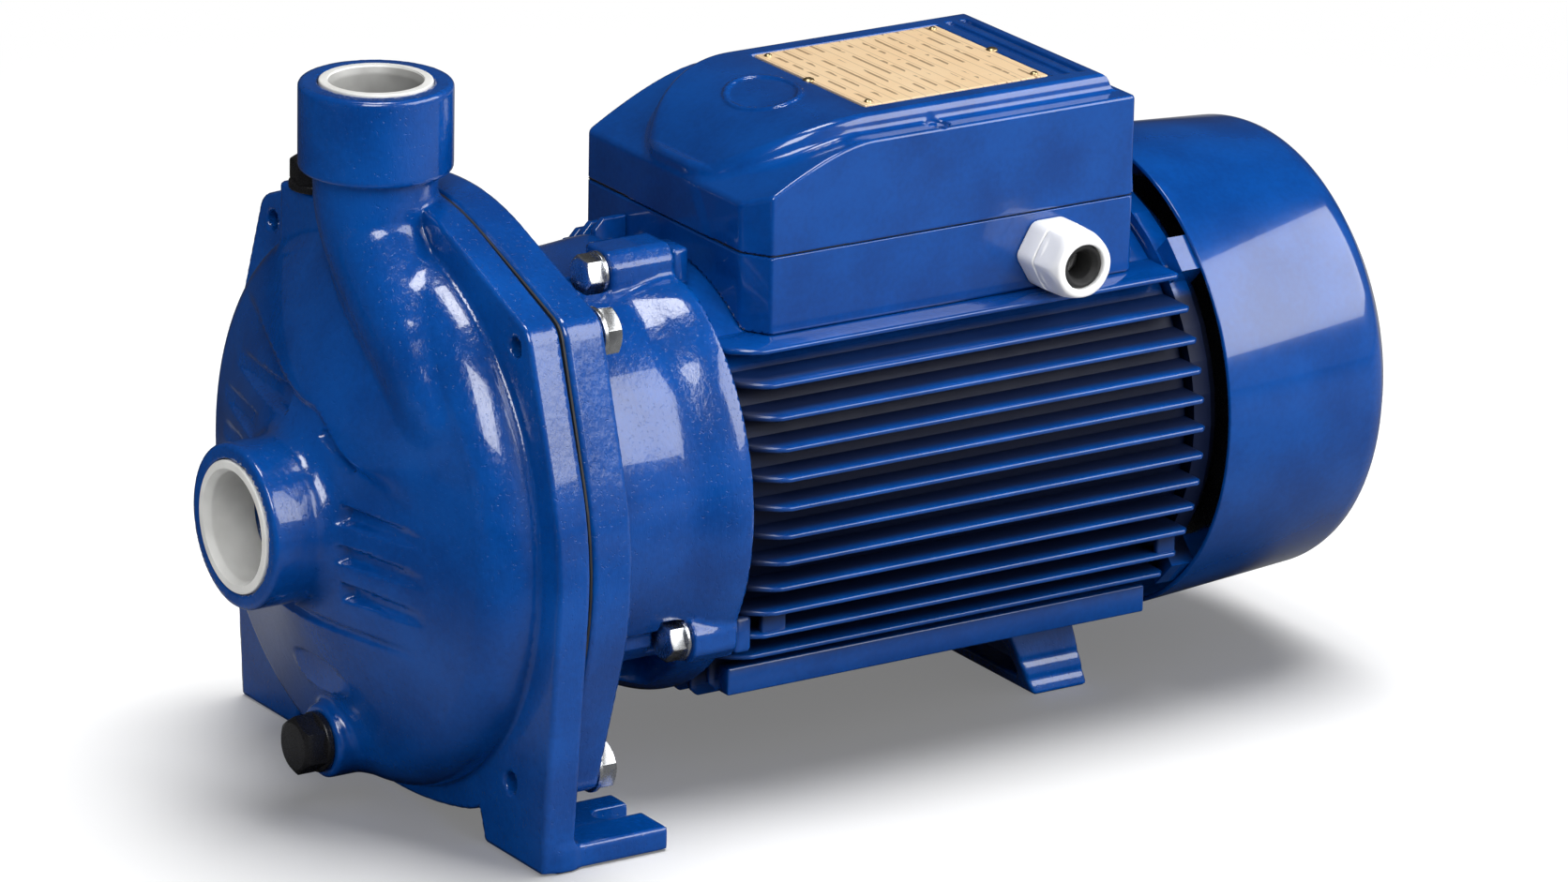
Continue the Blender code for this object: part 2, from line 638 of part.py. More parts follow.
def build_pump_body():
    """The front casting: shell, ports, bosses, flange and feet in one piece."""
    body = turned("pump_body", shell_profile(), steps=38)
    flange = soften(slab("flange", body_outline(), FLANGE_THICKNESS,
                         place(FLANGE_STATION + FLANGE_THICKNESS / 2)), CAST_EDGE_ROUND)
    join(body, flange, scroll_land())

    top = DISCHARGE_HEIGHT - RING_STANDS_OUT
    base = top - DISCHARGE_COLLAR_LENGTH
    collar = turned("discharge_collar",
                    [(0, -top), (DISCHARGE_COLLAR_RADIUS - PORT_EDGE_ROUND, -top)]
                    + [(DISCHARGE_COLLAR_RADIUS - PORT_EDGE_ROUND + x, -top + PORT_EDGE_ROUND - y)
                       for x, y in arc(0, 0, PORT_EDGE_ROUND, 90, 0, 2)][1:]
                    + [(DISCHARGE_COLLAR_RADIUS, -base - PORT_EDGE_ROUND),
                       (DISCHARGE_COLLAR_RADIUS - PORT_EDGE_ROUND, -base), (0, -base)],
                    steps=32, at=place(DISCHARGE_STATION), turn=UP)
    neck = swept("neck",
                 [place(DISCHARGE_STATION, 0, base + 4 * MM),
                  place(DISCHARGE_STATION, 2 * MM, base - 14 * MM),
                  place(DISCHARGE_STATION - 1 * MM, 14 * MM, base - 32 * MM),
                  place(DISCHARGE_STATION - 2 * MM, 34 * MM, base - 50 * MM),
                  place(DISCHARGE_STATION + 1 * MM, 60 * MM, base - 74 * MM)],
                 [NECK_RADIUS, NECK_RADIUS, NECK_RADIUS + 2 * MM, NECK_RADIUS, NECK_RADIUS - 8 * MM])
    join(body, collar, neck)
    cut(body, block("neck_trim", (-FLANGE_RADIUS, FLANGE_BACK, 0),
                    (FLANGE_RADIUS, FLANGE_BACK + NECK_RADIUS, PLATE_RADIUS + 2 * MM)))

    block_left = PRIMING_X - PRIMING_BLOCK_WIDTH / 2
    priming = soften(block("priming_block",
                           (block_left, PRIMING_BLOCK_FRONT, SHELL_RADIUS * 0.6),
                           (block_left + PRIMING_BLOCK_WIDTH + DISCHARGE_BORE_RADIUS,
                            FLANGE_STATION + CAST_EDGE_ROUND * 2, PRIMING_BLOCK_TOP)),
                     CAST_EDGE_ROUND)
    drain = rod("drain_boss", DRAIN_BOSS_RADIUS, FLANGE_STATION - DRAIN_BOSS_FRONT,
                place(FLANGE_STATION, 0, DRAIN_HEIGHT), FORWARD, 24)
    join(body, priming, drain)

    for side in (-1, 1):
        inner, outer = sorted((side * FOOT_INNER, side * FOOT_HALF_WIDTH))
        foot = block("foot_plate", (inner, FLANGE_BACK - 3 * MM, FLOOR),
                     (outer, FLANGE_BACK + FOOT_REACH, FLOOR + FOOT_PLATE_THICKNESS))
        join(body, soften(foot, CAST_EDGE_ROUND))
        slot = block("foot_slot", (side * LUG_X - FOOT_SLOT_WIDTH / 2,
                                   FLANGE_BACK + FOOT_REACH - FOOT_SLOT_DEPTH
                                   + FOOT_SLOT_WIDTH / 2, FLOOR - MM),
                     (side * LUG_X + FOOT_SLOT_WIDTH / 2,
                      FLANGE_BACK + FOOT_REACH + MM, FLOOR + FOOT_PLATE_THICKNESS + MM))
        end = rod("foot_slot_end", FOOT_SLOT_WIDTH / 2, FOOT_PLATE_THICKNESS + 2 * MM,
                  place(FLANGE_BACK + FOOT_REACH - FOOT_SLOT_DEPTH + FOOT_SLOT_WIDTH / 2,
                        side * LUG_X, FLOOR - MM), UP, 16)
        cut(body, join(slot, end))
        for height in (-LUG_Z, LUG_Z):
            hole = rod("lug_hole", LUG_HOLE_RADIUS, FLANGE_THICKNESS + 2 * MM,
                       place(FLANGE_BACK + MM, side * LUG_X, height), FORWARD, 12)
            cut(body, hole)

    join(body, shell_pad(PAD_STATION, FLANGE_STATION))
    cut(body, shell_pad(DOME_START, PAD_STATION))
    for side, (count, top, length, width) in POCKETS.items():
        for i in range(count):
            cut(body, face_pocket(side, top - i * POCKET_PITCH, length, width))

    cut(body, turned("chamber", chamber_profile(), steps=32))
    cut(body, rod("suction_seat", SUCTION_RING_RADIUS + GAP, SUCTION_RING_LENGTH + GAP + MM,
                  place(SUCTION_RING_LENGTH + GAP), FORWARD, 32))
    cut(body, rod("suction_bore", SUCTION_BORE_RADIUS, PRIMING_BLOCK_FRONT,
                  place(PRIMING_BLOCK_FRONT), FORWARD, 32))
    seat = DISCHARGE_HEIGHT - DISCHARGE_RING_LENGTH - GAP
    cut(body, rod("discharge_seat", DISCHARGE_RING_RADIUS + GAP, DISCHARGE_RING_LENGTH + MM,
                  place(DISCHARGE_STATION, 0, seat), UP, 32))
    cut(body, rod("discharge_bore", DISCHARGE_BORE_RADIUS, seat + MM - SHELL_RADIUS * 0.7,
                  place(DISCHARGE_STATION, 0, SHELL_RADIUS * 0.7), UP, 32))
    cut(body, rod("drain_hole", PLUG_SHANK_RADIUS + GAP, PLUG_SHANK_LENGTH + GAP + MM,
                  place(DRAIN_BOSS_FRONT + PLUG_SHANK_LENGTH + GAP, 0, DRAIN_HEIGHT), FORWARD, 16))
    cut(body, rod("priming_spot_face", PLUG_COLLAR_RADIUS + MM, 3 * PLUG_COLLAR_HEIGHT,
                  place(PRIMING_STATION, PRIMING_X, PRIMING_BLOCK_TOP), UP, 24))
    cut(body, rod("priming_hole", PLUG_SHANK_RADIUS + GAP, PLUG_SHANK_LENGTH + GAP + MM,
                  place(PRIMING_STATION, PRIMING_X,
                        PRIMING_BLOCK_TOP - PLUG_SHANK_LENGTH - GAP), UP, 16))
    return keep(body, "blue_gloss")


def build_port_ring(name, outer, inner, length, at, turn):
    """The pale ring that lines a port, standing just proud of its collar."""
    profile = [(inner, 0), (outer - 0.5 * MM, 0), (outer, 0.5 * MM), (outer, length),
               (inner, length)]
    return keep(turned(name, profile, steps=32, closed=True, at=at, turn=turn), "port_white")


def build_plug(name, at, turn):
    """A hexagon plug with a round collar and a short shank."""
    plug = rod(name, PLUG_COLLAR_RADIUS, PLUG_COLLAR_HEIGHT, at, turn, 24)
    direction = pointing(turn)
    head = rod(name + "_head", PLUG_ACROSS_FLATS / math.sqrt(3), PLUG_HEAD_HEIGHT + MM,
               at + direction * (PLUG_COLLAR_HEIGHT - MM), turn, 6)
    soften(head, 0.8 * MM)
    shank = rod(name + "_shank", PLUG_SHANK_RADIUS, PLUG_SHANK_LENGTH + MM,
                at - direction * PLUG_SHANK_LENGTH, turn, 16)
    join(plug, head, shank)
    return keep(plug, "black_plastic")


def build_bolt(name, across_flats, length, at, turn):
    """A hexagon bolt with a washer; the point given is on the washer's seat."""
    corner = across_flats / math.sqrt(3)
    direction = pointing(turn)
    bolt = rod(name, across_flats / 2 + WASHER_OVERHANG, WASHER_THICKNESS, at, turn, 16)
    head = rod(name + "_head", corner, BOLT_HEAD_HEIGHT + MM / 2,
               at + direction * (WASHER_THICKNESS - MM / 2), turn, 6)
    shank = rod(name + "_shank", BOLT_RADIUS, length + MM, at - direction * length, turn, 10)
    join(bolt, soften(head, 0.7 * MM), shank)
    return keep(bolt, "zinc_steel")


def build_gasket():
    """The thin gasket between the pump body and the bracket."""
    station = FLANGE_BACK + GAP + GASKET_THICKNESS / 2
    gasket = slab("body_gasket", bracket_outline(), GASKET_THICKNESS, place(station))
    cut(gasket, rod("gasket_opening", CHAMBER_RADIUS + SHELL_WALL, 4 * MM,
                    place(station + 2 * MM), FORWARD, 32))
    for side in (-1, 1):
        for height in (-LUG_Z, LUG_Z):
            cut(gasket, rod("gasket_hole", LUG_HOLE_RADIUS, 4 * MM,
                            place(station + 2 * MM, side * LUG_X, height), FORWARD, 12))
    return keep(gasket, "black_rubber")


def motor_bolt_places():
    """Each bolt between bracket and motor: its name, side, height and lug length."""
    for word, (degrees, lug_length) in MOTOR_BOLTS.items():
        angle = math.radians(degrees)
        yield ("motor_bolt_" + word, MOTOR_BOLT_CIRCLE * math.cos(angle),
               MOTOR_BOLT_CIRCLE * math.sin(angle), lug_length)


def build_bracket():
    """The casting that carries the motor: plate, hollow skirt, hub and bolt lugs."""
    bracket = soften(slab("motor_bracket", bracket_outline(), PLATE_THICKNESS,
                          place(PLATE_STATION + PLATE_THICKNESS / 2)), CAST_EDGE_ROUND)
    back = PLATE_BACK - MM
    inner = SKIRT_RADIUS - SKIRT_WALL
    bore = SHAFT_RADIUS + SHAFT_CLEARANCE
    hub_front = BRACKET_END - BEARING_WALL - HUB_LENGTH
    skirt = turned("skirt",
                   [(SKIRT_RADIUS + SKIRT_ROOT_FLARE, back),
                    (SKIRT_RADIUS + SKIRT_ROOT_FLARE * 0.4, back + SKIRT_ROOT_FLARE * 0.5),
                    (SKIRT_RADIUS, back + SKIRT_ROOT_FLARE * 1.6),
                    (SKIRT_RADIUS, BRACKET_END - SKIRT_END_FLARE),
                    (SKIRT_END_RADIUS, BRACKET_END - SKIRT_END_FLARE * 0.3),
                    (SKIRT_END_RADIUS, BRACKET_END), (bore, BRACKET_END), (bore, hub_front),
                    (HUB_RADIUS, hub_front), (HUB_RADIUS, BRACKET_END - BEARING_WALL),
                    (inner, BRACKET_END - BEARING_WALL), (inner, back)],
                   steps=36, closed=True)
    join(bracket, cut(skirt, block("skirt_flat",
                                   (-SKIRT_RADIUS, PLATE_BACK, SKIRT_RADIUS - SKIRT_FLAT),
                                   (SKIRT_RADIUS, BRACKET_END + MM, PLATE_RADIUS))))
    half = MOTOR_LUG_WIDTH / 2
    for name, x, z, lug_length in motor_bolt_places():
        lug = block(name + "_lug",
                    (x - half, BRACKET_END - lug_length, z - MOTOR_LUG_HEIGHT / 2),
                    (x + half, BRACKET_END, z + MOTOR_LUG_HEIGHT / 2))
        join(bracket, soften(lug, 2 * MM))
    for side in (-1, 1):
        angle = math.radians(-WINDOW_ANGLE if side > 0 else WINDOW_ANGLE - 180)
        front = PLATE_BACK + WINDOW_MARGIN
        rear = BRACKET_END - BEARING_WALL - WINDOW_MARGIN / 2
        window = block("window", (-WINDOW_WIDTH / 2, front, HUB_RADIUS + 8 * MM),
                       (WINDOW_WIDTH / 2, rear, SKIRT_RADIUS + 12 * MM))
        middle = (HUB_RADIUS + 8 * MM + SKIRT_RADIUS + 12 * MM) / 2
        window.location = place((front + rear) / 2, middle * math.cos(angle),
                                middle * math.sin(angle))
        window.rotation_euler = (0, math.pi / 2 - angle, 0)
        cut(bracket, soften(window, 6 * MM, 2))
    cut(bracket, rod("shaft_hole", SHAFT_RADIUS + SHAFT_CLEARANCE, PLATE_THICKNESS + 2 * MM,
                     place(PLATE_BACK + MM), FORWARD, 24))
    spot_face = MOTOR_BOLT_ACROSS_FLATS / 2 + WASHER_OVERHANG + SPOT_FACE_CLEARANCE
    for name, x, z, lug_length in motor_bolt_places():
        cut(bracket, rod("spot_face", spot_face, SPOT_FACE_LENGTH,
                         place(BRACKET_END - lug_length, x, z), FORWARD, 16))
        cut(bracket, rod("bolt_hole", BOLT_RADIUS + GAP, lug_length + 2 * MM,
                         place(BRACKET_END + MM, x, z), FORWARD, 12))
    for side in (-1, 1):
        for height in (-LUG_Z, LUG_Z):
            cut(bracket, rod("lug_hole", BOLT_RADIUS + GAP, PLATE_THICKNESS + 2 * MM,
                             place(PLATE_BACK + MM, side * LUG_X, height), FORWARD, 12))
    return keep(bracket, "blue_gloss")


def fin_reach(height, radius=FIN_RADIUS):
    """How far a flat fin reaches to the side at a height."""
    return math.sqrt(radius ** 2 - height ** 2)


def side_fin_heights():
    """The height of each flat fin, from below the box down to the rails."""
    count = int((FIN_TOP + CORE_RADIUS - LOWEST_FIN_INSET) / FIN_PITCH) + 1
    return [FIN_TOP - i * FIN_PITCH for i in range(count)]


def build_housing():
    """The motor housing: a round core with flat fins, a rail, a saddle and bolt pads."""
    length = FINS_END - HOUSING_FRONT
    housing = rod("motor_housing", CORE_RADIUS, length, place(HOUSING_FRONT), BACKWARD, 40)
    for height in side_fin_heights():
        tip = fin_reach(height)
        outline = [(tip - FIN_END_SLOPE, FINS_FRONT), (tip, FINS_FRONT + FIN_END_SLOPE),
                   (tip, FINS_END - 2 * MM), (tip - 2 * MM, FINS_END)]
        join(housing, slab("fin", mirrored(outline), FIN_THICKNESS, place(0, 0, height), UP))
    upper, lower = (side_fin_heights()[n] for n in TIED_FINS)
    for side in (-1, 1):
        for i in range(BOTTOM_FIN_COUNT):
            x = side * (i + 0.5) * BOTTOM_FIN_PITCH
            drop = min(BOTTOM_FIN_DROP, fin_reach(x, FIN_RADIUS + 2 * MM))
            fin = block("bottom_fin", (x - FIN_THICKNESS / 2, FINS_FRONT, -drop),
                        (x + FIN_THICKNESS / 2, FINS_END, -CORE_RADIUS * 0.7))
            join(housing, fin)
        inner, outer = sorted((side * (RAIL_OUTER - RAIL_WIDTH), side * RAIL_OUTER))
        rail = block("rail", (inner, FINS_FRONT + RAIL_SETBACK, RAIL_TOP - RAIL_HEIGHT),
                     (outer, FINS_END - 3 * MM, RAIL_TOP))
        join(housing, soften(rail, MM))
        inner, outer = sorted((side * CORE_RADIUS * 0.4, side * (RAIL_OUTER - MM)))
        ledge = block("rail_ledge", (inner, FINS_FRONT + RAIL_SETBACK + 4 * MM,
                                     RAIL_TOP - RAIL_LEDGE),
                      (outer, FINS_END - 4 * MM, RAIL_TOP - 0.5 * MM))
        join(housing, ledge)
        reach = fin_reach(lower) - 1.5 * MM
        low, high = sorted((side * reach, side * (reach - TIE_PAD_THICKNESS)))
        for start in (FINS_FRONT + FIN_END_SLOPE + 2 * MM, FINS_END - TIE_PAD_LENGTH - MM):
            pad = block("tie_pad", (low, start, lower), (high, start + TIE_PAD_LENGTH, upper))
            join(housing, pad)
    for i in range(TOP_FIN_COUNT):
        x = -TOP_FIN_FIRST - i * TOP_FIN_PITCH
        fin = block("top_fin", (x - FIN_THICKNESS / 2, BOX_FRONT - GAP - TOP_FIN_LENGTH,
                                CORE_RADIUS * 0.6),
                    (x + FIN_THICKNESS / 2, BOX_FRONT - GAP, fin_reach(x, TOP_FIN_RADIUS)))
        join(housing, soften(fin, 0.9 * MM))
    saddle_half = BOX_HALF_WIDTH - SADDLE_INSET
    saddle = block("saddle", (-saddle_half, BOX_FRONT + SADDLE_SETBACK, CORE_RADIUS * 0.5),
                   (saddle_half, BOX_END - SADDLE_SETBACK, BOX_BOTTOM - GAP))
    join(housing, saddle)
    for name, x, z, lug_length in motor_bolt_places():
        half = MOTOR_LUG_HEIGHT / 2 - MM
        pad = block("bolt_pad", (x - half, HOUSING_FRONT, z - half),
                    (x + half, HOUSING_FRONT + MOTOR_PAD_LENGTH, z + half))
        join(housing, soften(pad, 2 * MM))
        cut(housing, rod("bolt_thread", BOLT_RADIUS + GAP, MOTOR_BOLT_GRIP + 2 * MM,
                         place(HOUSING_FRONT - MM, x, z), BACKWARD, 12))
    cut(housing, rod("shaft_tunnel", SHAFT_RADIUS + GAP, length + 2 * MM,
                     place(HOUSING_FRONT - MM), BACKWARD, 20))
    return keep(housing, "blue_gloss")


def build_rear_foot():
    """The foot under the motor: it splays to a wider, shorter sole, with a pocket at each end."""
    top = -BOTTOM_FIN_DROP - GAP
    outline = [(-REAR_FOOT_HALF_TOP, top), (REAR_FOOT_HALF_TOP, top),
               (REAR_FOOT_HALF_WIDTH, FLOOR), (-REAR_FOOT_HALF_WIDTH, FLOOR)]
    outline.reverse()
    middle = REAR_FOOT_STATION + REAR_FOOT_LENGTH / 2
    front, back = REAR_FOOT_STATION, REAR_FOOT_STATION + REAR_FOOT_LENGTH
    foot = slab("rear_foot", outline, REAR_FOOT_LENGTH + 2 * REAR_FOOT_LEAN, place(middle))
    boolean(foot, "INTERSECT",
            side_block("foot_side", [(front - REAR_FOOT_LEAN, top + MM),
                                     (front + MM, FLOOR - MM), (back, FLOOR - MM),
                                     (back - REAR_FOOT_LEAN / 2, top + MM)],
                       REAR_FOOT_HALF_WIDTH + MM))
    soften(foot, CAST_EDGE_ROUND)
    wall = REAR_FOOT_WALL
    for sign in (-1, 1):
        pocket_outline = [(REAR_FOOT_HALF_TOP - wall, top - wall),
                          (-REAR_FOOT_HALF_TOP + wall, top - wall),
                          (-REAR_FOOT_HALF_WIDTH + 1.3 * wall, FLOOR + wall * 0.8),
                          (REAR_FOOT_HALF_WIDTH - 1.3 * wall, FLOOR + wall * 0.8)]
        station = middle + sign * (REAR_FOOT_LENGTH / 2)
        pocket = slab("foot_pocket", pocket_outline, REAR_FOOT_LENGTH - wall,
                      place(station))
        cut(foot, pocket)
    return keep(foot, "blue_gloss")


def build_shield():
    """The rear bearing shield, with ears that carry the fan cover."""
    front = FINS_END + GAP
    back = front + SHIELD_THICKNESS
    taper = (COVER_FRONT_RADIUS - COVER_REAR_RADIUS) / (COVER_CREASE - COVER_FRONT)
    reach = COVER_FRONT_RADIUS - COVER_WALL - taper * (back - COVER_FRONT) - GAP
    shield = turned("rear_shield",
                    [(SHAFT_RADIUS + SHAFT_CLEARANCE, front), (SHIELD_RADIUS, front),
                     (SHIELD_RADIUS, front + SHIELD_THICKNESS * 0.6),
                     (SHIELD_RADIUS - 4 * MM, back), (SHAFT_RADIUS + SHAFT_CLEARANCE, back)],
                    steps=40, closed=True)
    for degrees in (45, 135, 225, 315):
        angle = math.radians(degrees)
        middle = SHIELD_RADIUS - 10 * MM
        ear = block("cover_ear", (-COVER_EAR_WIDTH / 2, front + MM, middle),
                    (COVER_EAR_WIDTH / 2, back - MM, reach))
        ear.location = place((front + back) / 2, (middle + reach) / 2 * math.cos(angle),
                             (middle + reach) / 2 * math.sin(angle))
        ear.rotation_euler = (0, math.pi / 2 - angle, 0)
        join(shield, ear)
    return keep(shield, "blue_gloss")


def build_shaft():
    """The motor shaft, from the impeller to the fan."""
    front = DOME_START + DOME_HEIGHT
    end = FAN_STATION + FAN_LENGTH + 2 * MM
    profile = [(0, front), (SHAFT_RADIUS - MM, front), (SHAFT_RADIUS, front + MM),
               (SHAFT_RADIUS, end - MM), (SHAFT_RADIUS - MM, end), (0, end)]
    return keep(turned("motor_shaft", profile, steps=24), "bare_steel")


def build_impeller():
    """The impeller, whose eye shows through the suction port."""
    front = DOME_START + SHELL_WALL + DOME_HEIGHT
    back = FLANGE_BACK - 3 * MM
    outer = CHAMBER_RADIUS - 6 * MM
    bore = SHAFT_RADIUS + GAP
    profile = [(bore, front + 2 * MM), (SUCTION_BORE_RADIUS - 5 * MM, front + 6 * MM),
               (SUCTION_BORE_RADIUS - 2 * MM, front + MM), (SUCTION_BORE_RADIUS, front + MM),
               (outer, front + 6 * MM), (outer, back), (bore, back)]
    return keep(turned("impeller", profile, steps=32, closed=True), "brass")


def build_slinger():
    """The rubber ring that throws water off the shaft before the motor bearing."""
    bore = SHAFT_RADIUS + GAP
    profile = [(bore, SLINGER_STATION), (SHAFT_RADIUS + 5 * MM, SLINGER_STATION),
               (SLINGER_RADIUS, SLINGER_STATION + 2 * SLINGER_THICKNESS),
               (SLINGER_RADIUS - MM, SLINGER_STATION + 3 * SLINGER_THICKNESS),
               (SHAFT_RADIUS + 5 * MM, SLINGER_STATION + 3 * SLINGER_THICKNESS),
               (bore, SLINGER_STATION + 3 * SLINGER_THICKNESS)]
    return keep(turned("shaft_slinger", profile, steps=20, closed=True), "black_rubber")


def build_fan():
    """The cooling fan: a disc with straight blades on a hub."""
    bore = SHAFT_RADIUS + GAP
    fan = turned("cooling_fan",
                 [(bore, FAN_STATION), (FAN_RADIUS, FAN_STATION),
                  (FAN_RADIUS, FAN_STATION + FAN_DISC_THICKNESS),
                  (FAN_HUB_RADIUS, FAN_STATION + FAN_DISC_THICKNESS),
                  (FAN_HUB_RADIUS, FAN_STATION + FAN_LENGTH),
                  (bore, FAN_STATION + FAN_LENGTH)], steps=28, closed=True)
    for i in range(FAN_BLADES):
        angle = 2 * math.pi * i / FAN_BLADES
        blade = block("blade", (-FAN_BLADE_THICKNESS / 2, FAN_STATION + MM, FAN_HUB_RADIUS - MM),
                      (FAN_BLADE_THICKNESS / 2, FAN_STATION + FAN_LENGTH - MM, FAN_RADIUS - MM))
        middle = (FAN_HUB_RADIUS + FAN_RADIUS - 2 * MM) / 2
        blade.location = place(FAN_STATION + FAN_LENGTH / 2, middle * math.sin(angle),
                               middle * math.cos(angle))
        blade.rotation_euler = (0, angle, 0)
        join(fan, blade)
    return keep(fan, "black_plastic")


def build_cover():
    """The drawn steel fan cover, with a slotted rear face."""
    wall = COVER_WALL
    cover = turned("fan_cover",
                   [(0, COVER_END - wall), (COVER_END_RADIUS - wall * 0.6, COVER_END - wall),
                    (COVER_REAR_RADIUS - wall, COVER_CREASE - wall * 0.4),
                    (COVER_FRONT_RADIUS - wall, COVER_FRONT), (COVER_FRONT_RADIUS, COVER_FRONT),
                    (COVER_REAR_RADIUS, COVER_CREASE), (COVER_END_RADIUS, COVER_END),
                    (0, COVER_END)], steps=36)
    for i in range(GRILLE_RING_COUNT):
        low = GRILLE_INNER + i * (GRILLE_SLOT_WIDTH + GRILLE_BAR)
        high = low + GRILLE_SLOT_WIDTH
        for k in range(GRILLE_SPOKES):
            start, end = k * 360 / GRILLE_SPOKES, (k + 1) * 360 / GRILLE_SPOKES
            trim_low = math.degrees(GRILLE_SPOKE_WIDTH / 2 / low)
            trim_high = math.degrees(GRILLE_SPOKE_WIDTH / 2 / high)
            sector = arc(0, 0, high, start + trim_high, end - trim_high, GRILLE_ARC_STEPS)
            sector += arc(0, 0, low, end - trim_low, start + trim_low, GRILLE_ARC_STEPS)
            cut(cover, slab("grille_slot", sector, 6 * wall, place(COVER_END - wall)))
    return keep(cover, "blue_gloss")


def box_plan(inset=0.0):
    """The plan of the terminal box, with its one cut corner, as (x, station) points."""
    x, front, back = BOX_HALF_WIDTH - inset, BOX_FRONT + inset, BOX_END - inset
    return [(x - BOX_CORNER_X, front), (x, front + BOX_CORNER_Y), (x, back), (-x, back),
            (-x, front)]


def plan_block(name, outline, low, high):
    """An outline in plan, given the height between two levels."""
    return slab(name, outline, high - low, place(0, 0, (low + high) / 2), UP)


def build_box_base():
    """The lower half of the terminal box, which fits over the round of the motor."""
    base = plan_block("terminal_box_base", box_plan(), BOX_BOTTOM, BASE_TOP)
    soften(base, MM)
    cut(base, rod("motor_round", CORE_RADIUS + GAP, BOX_END - BOX_FRONT + 2 * MM,
                  place(BOX_FRONT - MM), BACKWARD, 40))
    cut(base, rod("gland_hole", GLAND_SHANK_RADIUS + GAP, GLAND_SHANK_LENGTH + 2 * MM,
                  place(GLAND_STATION, BOX_HALF_WIDTH - GLAND_SHANK_LENGTH - MM, GLAND_HEIGHT),
                  RIGHT, 24))
    return keep(base, "blue_gloss")


def build_box_seam():
    """The dark gasket in the seam of the terminal box."""
    return keep(plan_block("terminal_box_gasket", box_plan(SEAM_INSET), BOX_SEAM,
                           BOX_SEAM + SEAM_THICKNESS), "black_rubber")


def side_block(name, profile, half_width):
    """A profile seen from the side, as (station, height), given a width across the box."""
    turn = (math.pi / 2, 0, math.pi / 2)
    return slab(name, profile, 2 * half_width, place(0), turn)


def rise(start, bend, end, steps=7):
    """A smooth rise from a low front point to a level one, drawn towards a bend."""
    start, bend, end = Vector(start), Vector(bend), Vector(end)
    fractions = (i / steps for i in range(steps + 1))
    points = (start.lerp(bend, t).lerp(bend.lerp(end, t), t) for t in fractions)
    return [tuple(point) for point in points]


def build_box_lid():
    """The lid: a shelf with a sloped front and a raised plateau with a round nose."""
    lid = plan_block("terminal_box_lid", box_plan(), LID_BOTTOM, LID_PLATEAU_TOP + 5 * MM)
    front, end = BOX_FRONT - 5 * MM, BOX_END + 5 * MM
    below, above = LID_BOTTOM - MM, LID_PLATEAU_TOP + 5 * MM
    shelf = [(front, below), (front, LID_FRONT_TOP - 3 * MM)]
    shelf += rise((BOX_FRONT, LID_FRONT_TOP), (BOX_FRONT + LID_SHELF_BEND, LID_SHELF_TOP),
                  (BOX_FRONT + LID_SHELF_RUN, LID_SHELF_TOP))
    shelf += [(end, LID_SHELF_TOP), (end, below)]
    shelf.reverse()
    boolean(lid, "INTERSECT", side_block("lid_shelf", shelf, BOX_HALF_WIDTH + 5 * MM))

    half = LID_PLATEAU_HALF
    nose_station = BOX_FRONT + LID_PLATEAU_SETBACK
    plan = [(half, BOX_END - LID_PLATEAU_MARGIN), (-half, BOX_END - LID_PLATEAU_MARGIN)]
    plan += arc(0, nose_station + half, half, 180, 360, 24)
    plateau = plan_block("lid_plateau", plan, LID_FRONT_TOP - 8 * MM, LID_PLATEAU_TOP)
    soften(plateau, 3 * MM, angle=80)
    nose_top = BASE_TOP + LID_PLATEAU_NOSE
    nose = [(front, below), (front, nose_top - 3 * MM)]
    nose += rise((nose_station, nose_top), (BOX_FRONT + LID_PLATEAU_BEND, LID_PLATEAU_TOP),
                 (BOX_FRONT + LID_PLATEAU_RUN, LID_PLATEAU_TOP))
    nose += [(end, above), (end, below)]
    nose.reverse()
    boolean(plateau, "INTERSECT", side_block("lid_nose", nose, BOX_HALF_WIDTH + 5 * MM))
    join(lid, plateau)

    top, margin = LID_PLATEAU_TOP, MM
    cut(lid, block("plate_recess", (-PLATE_HALF_X - margin, PLATE_FRONT - margin, top - PLATE_RECESS),
                   (PLATE_HALF_X + margin, PLATE_END + margin, top + margin)))
    for setback in LID_GROOVES:
        cut(lid, block("rear_groove",
                       (-PLATE_HALF_X - margin, PLATE_END + setback, top - LID_GROOVE_DEPTH),
                       (PLATE_HALF_X + margin, PLATE_END + setback + LID_GROOVE_WIDTH, top + margin)))
    for side in (-1, 1):
        cut(lid, rod("screw_hole", LID_SCREW_RADIUS + GAP, 12 * MM,
                     place(BOX_FRONT + LID_SCREW_SETBACK, side * (BOX_HALF_WIDTH - LID_SCREW_INSET),
                           LID_SHELF_TOP - 8 * MM), UP, 16))
    return keep(lid, "blue_gloss")


def build_nameplate():
    """The thin plate in the recess of the lid."""
    floor = LID_PLATEAU_TOP - PLATE_RECESS + GAP
    plate = block("nameplate", (-PLATE_HALF_X, PLATE_FRONT, floor),
                  (PLATE_HALF_X, PLATE_END, floor + PLATE_SHEET))
    return keep(plate, "brass")


def build_lid_screws():
    """The two screws that hold the lid down, sunk in their holes."""
    for side, hand in ((1, "right"), (-1, "left")):
        screw = rod("lid_screw_" + hand, LID_SCREW_RADIUS, 5 * MM,
                    place(BOX_FRONT + LID_SCREW_SETBACK, side * (BOX_HALF_WIDTH - LID_SCREW_INSET),
                          LID_SHELF_TOP - 8 * MM + GAP), UP, 16)
        keep(screw, "zinc_steel")


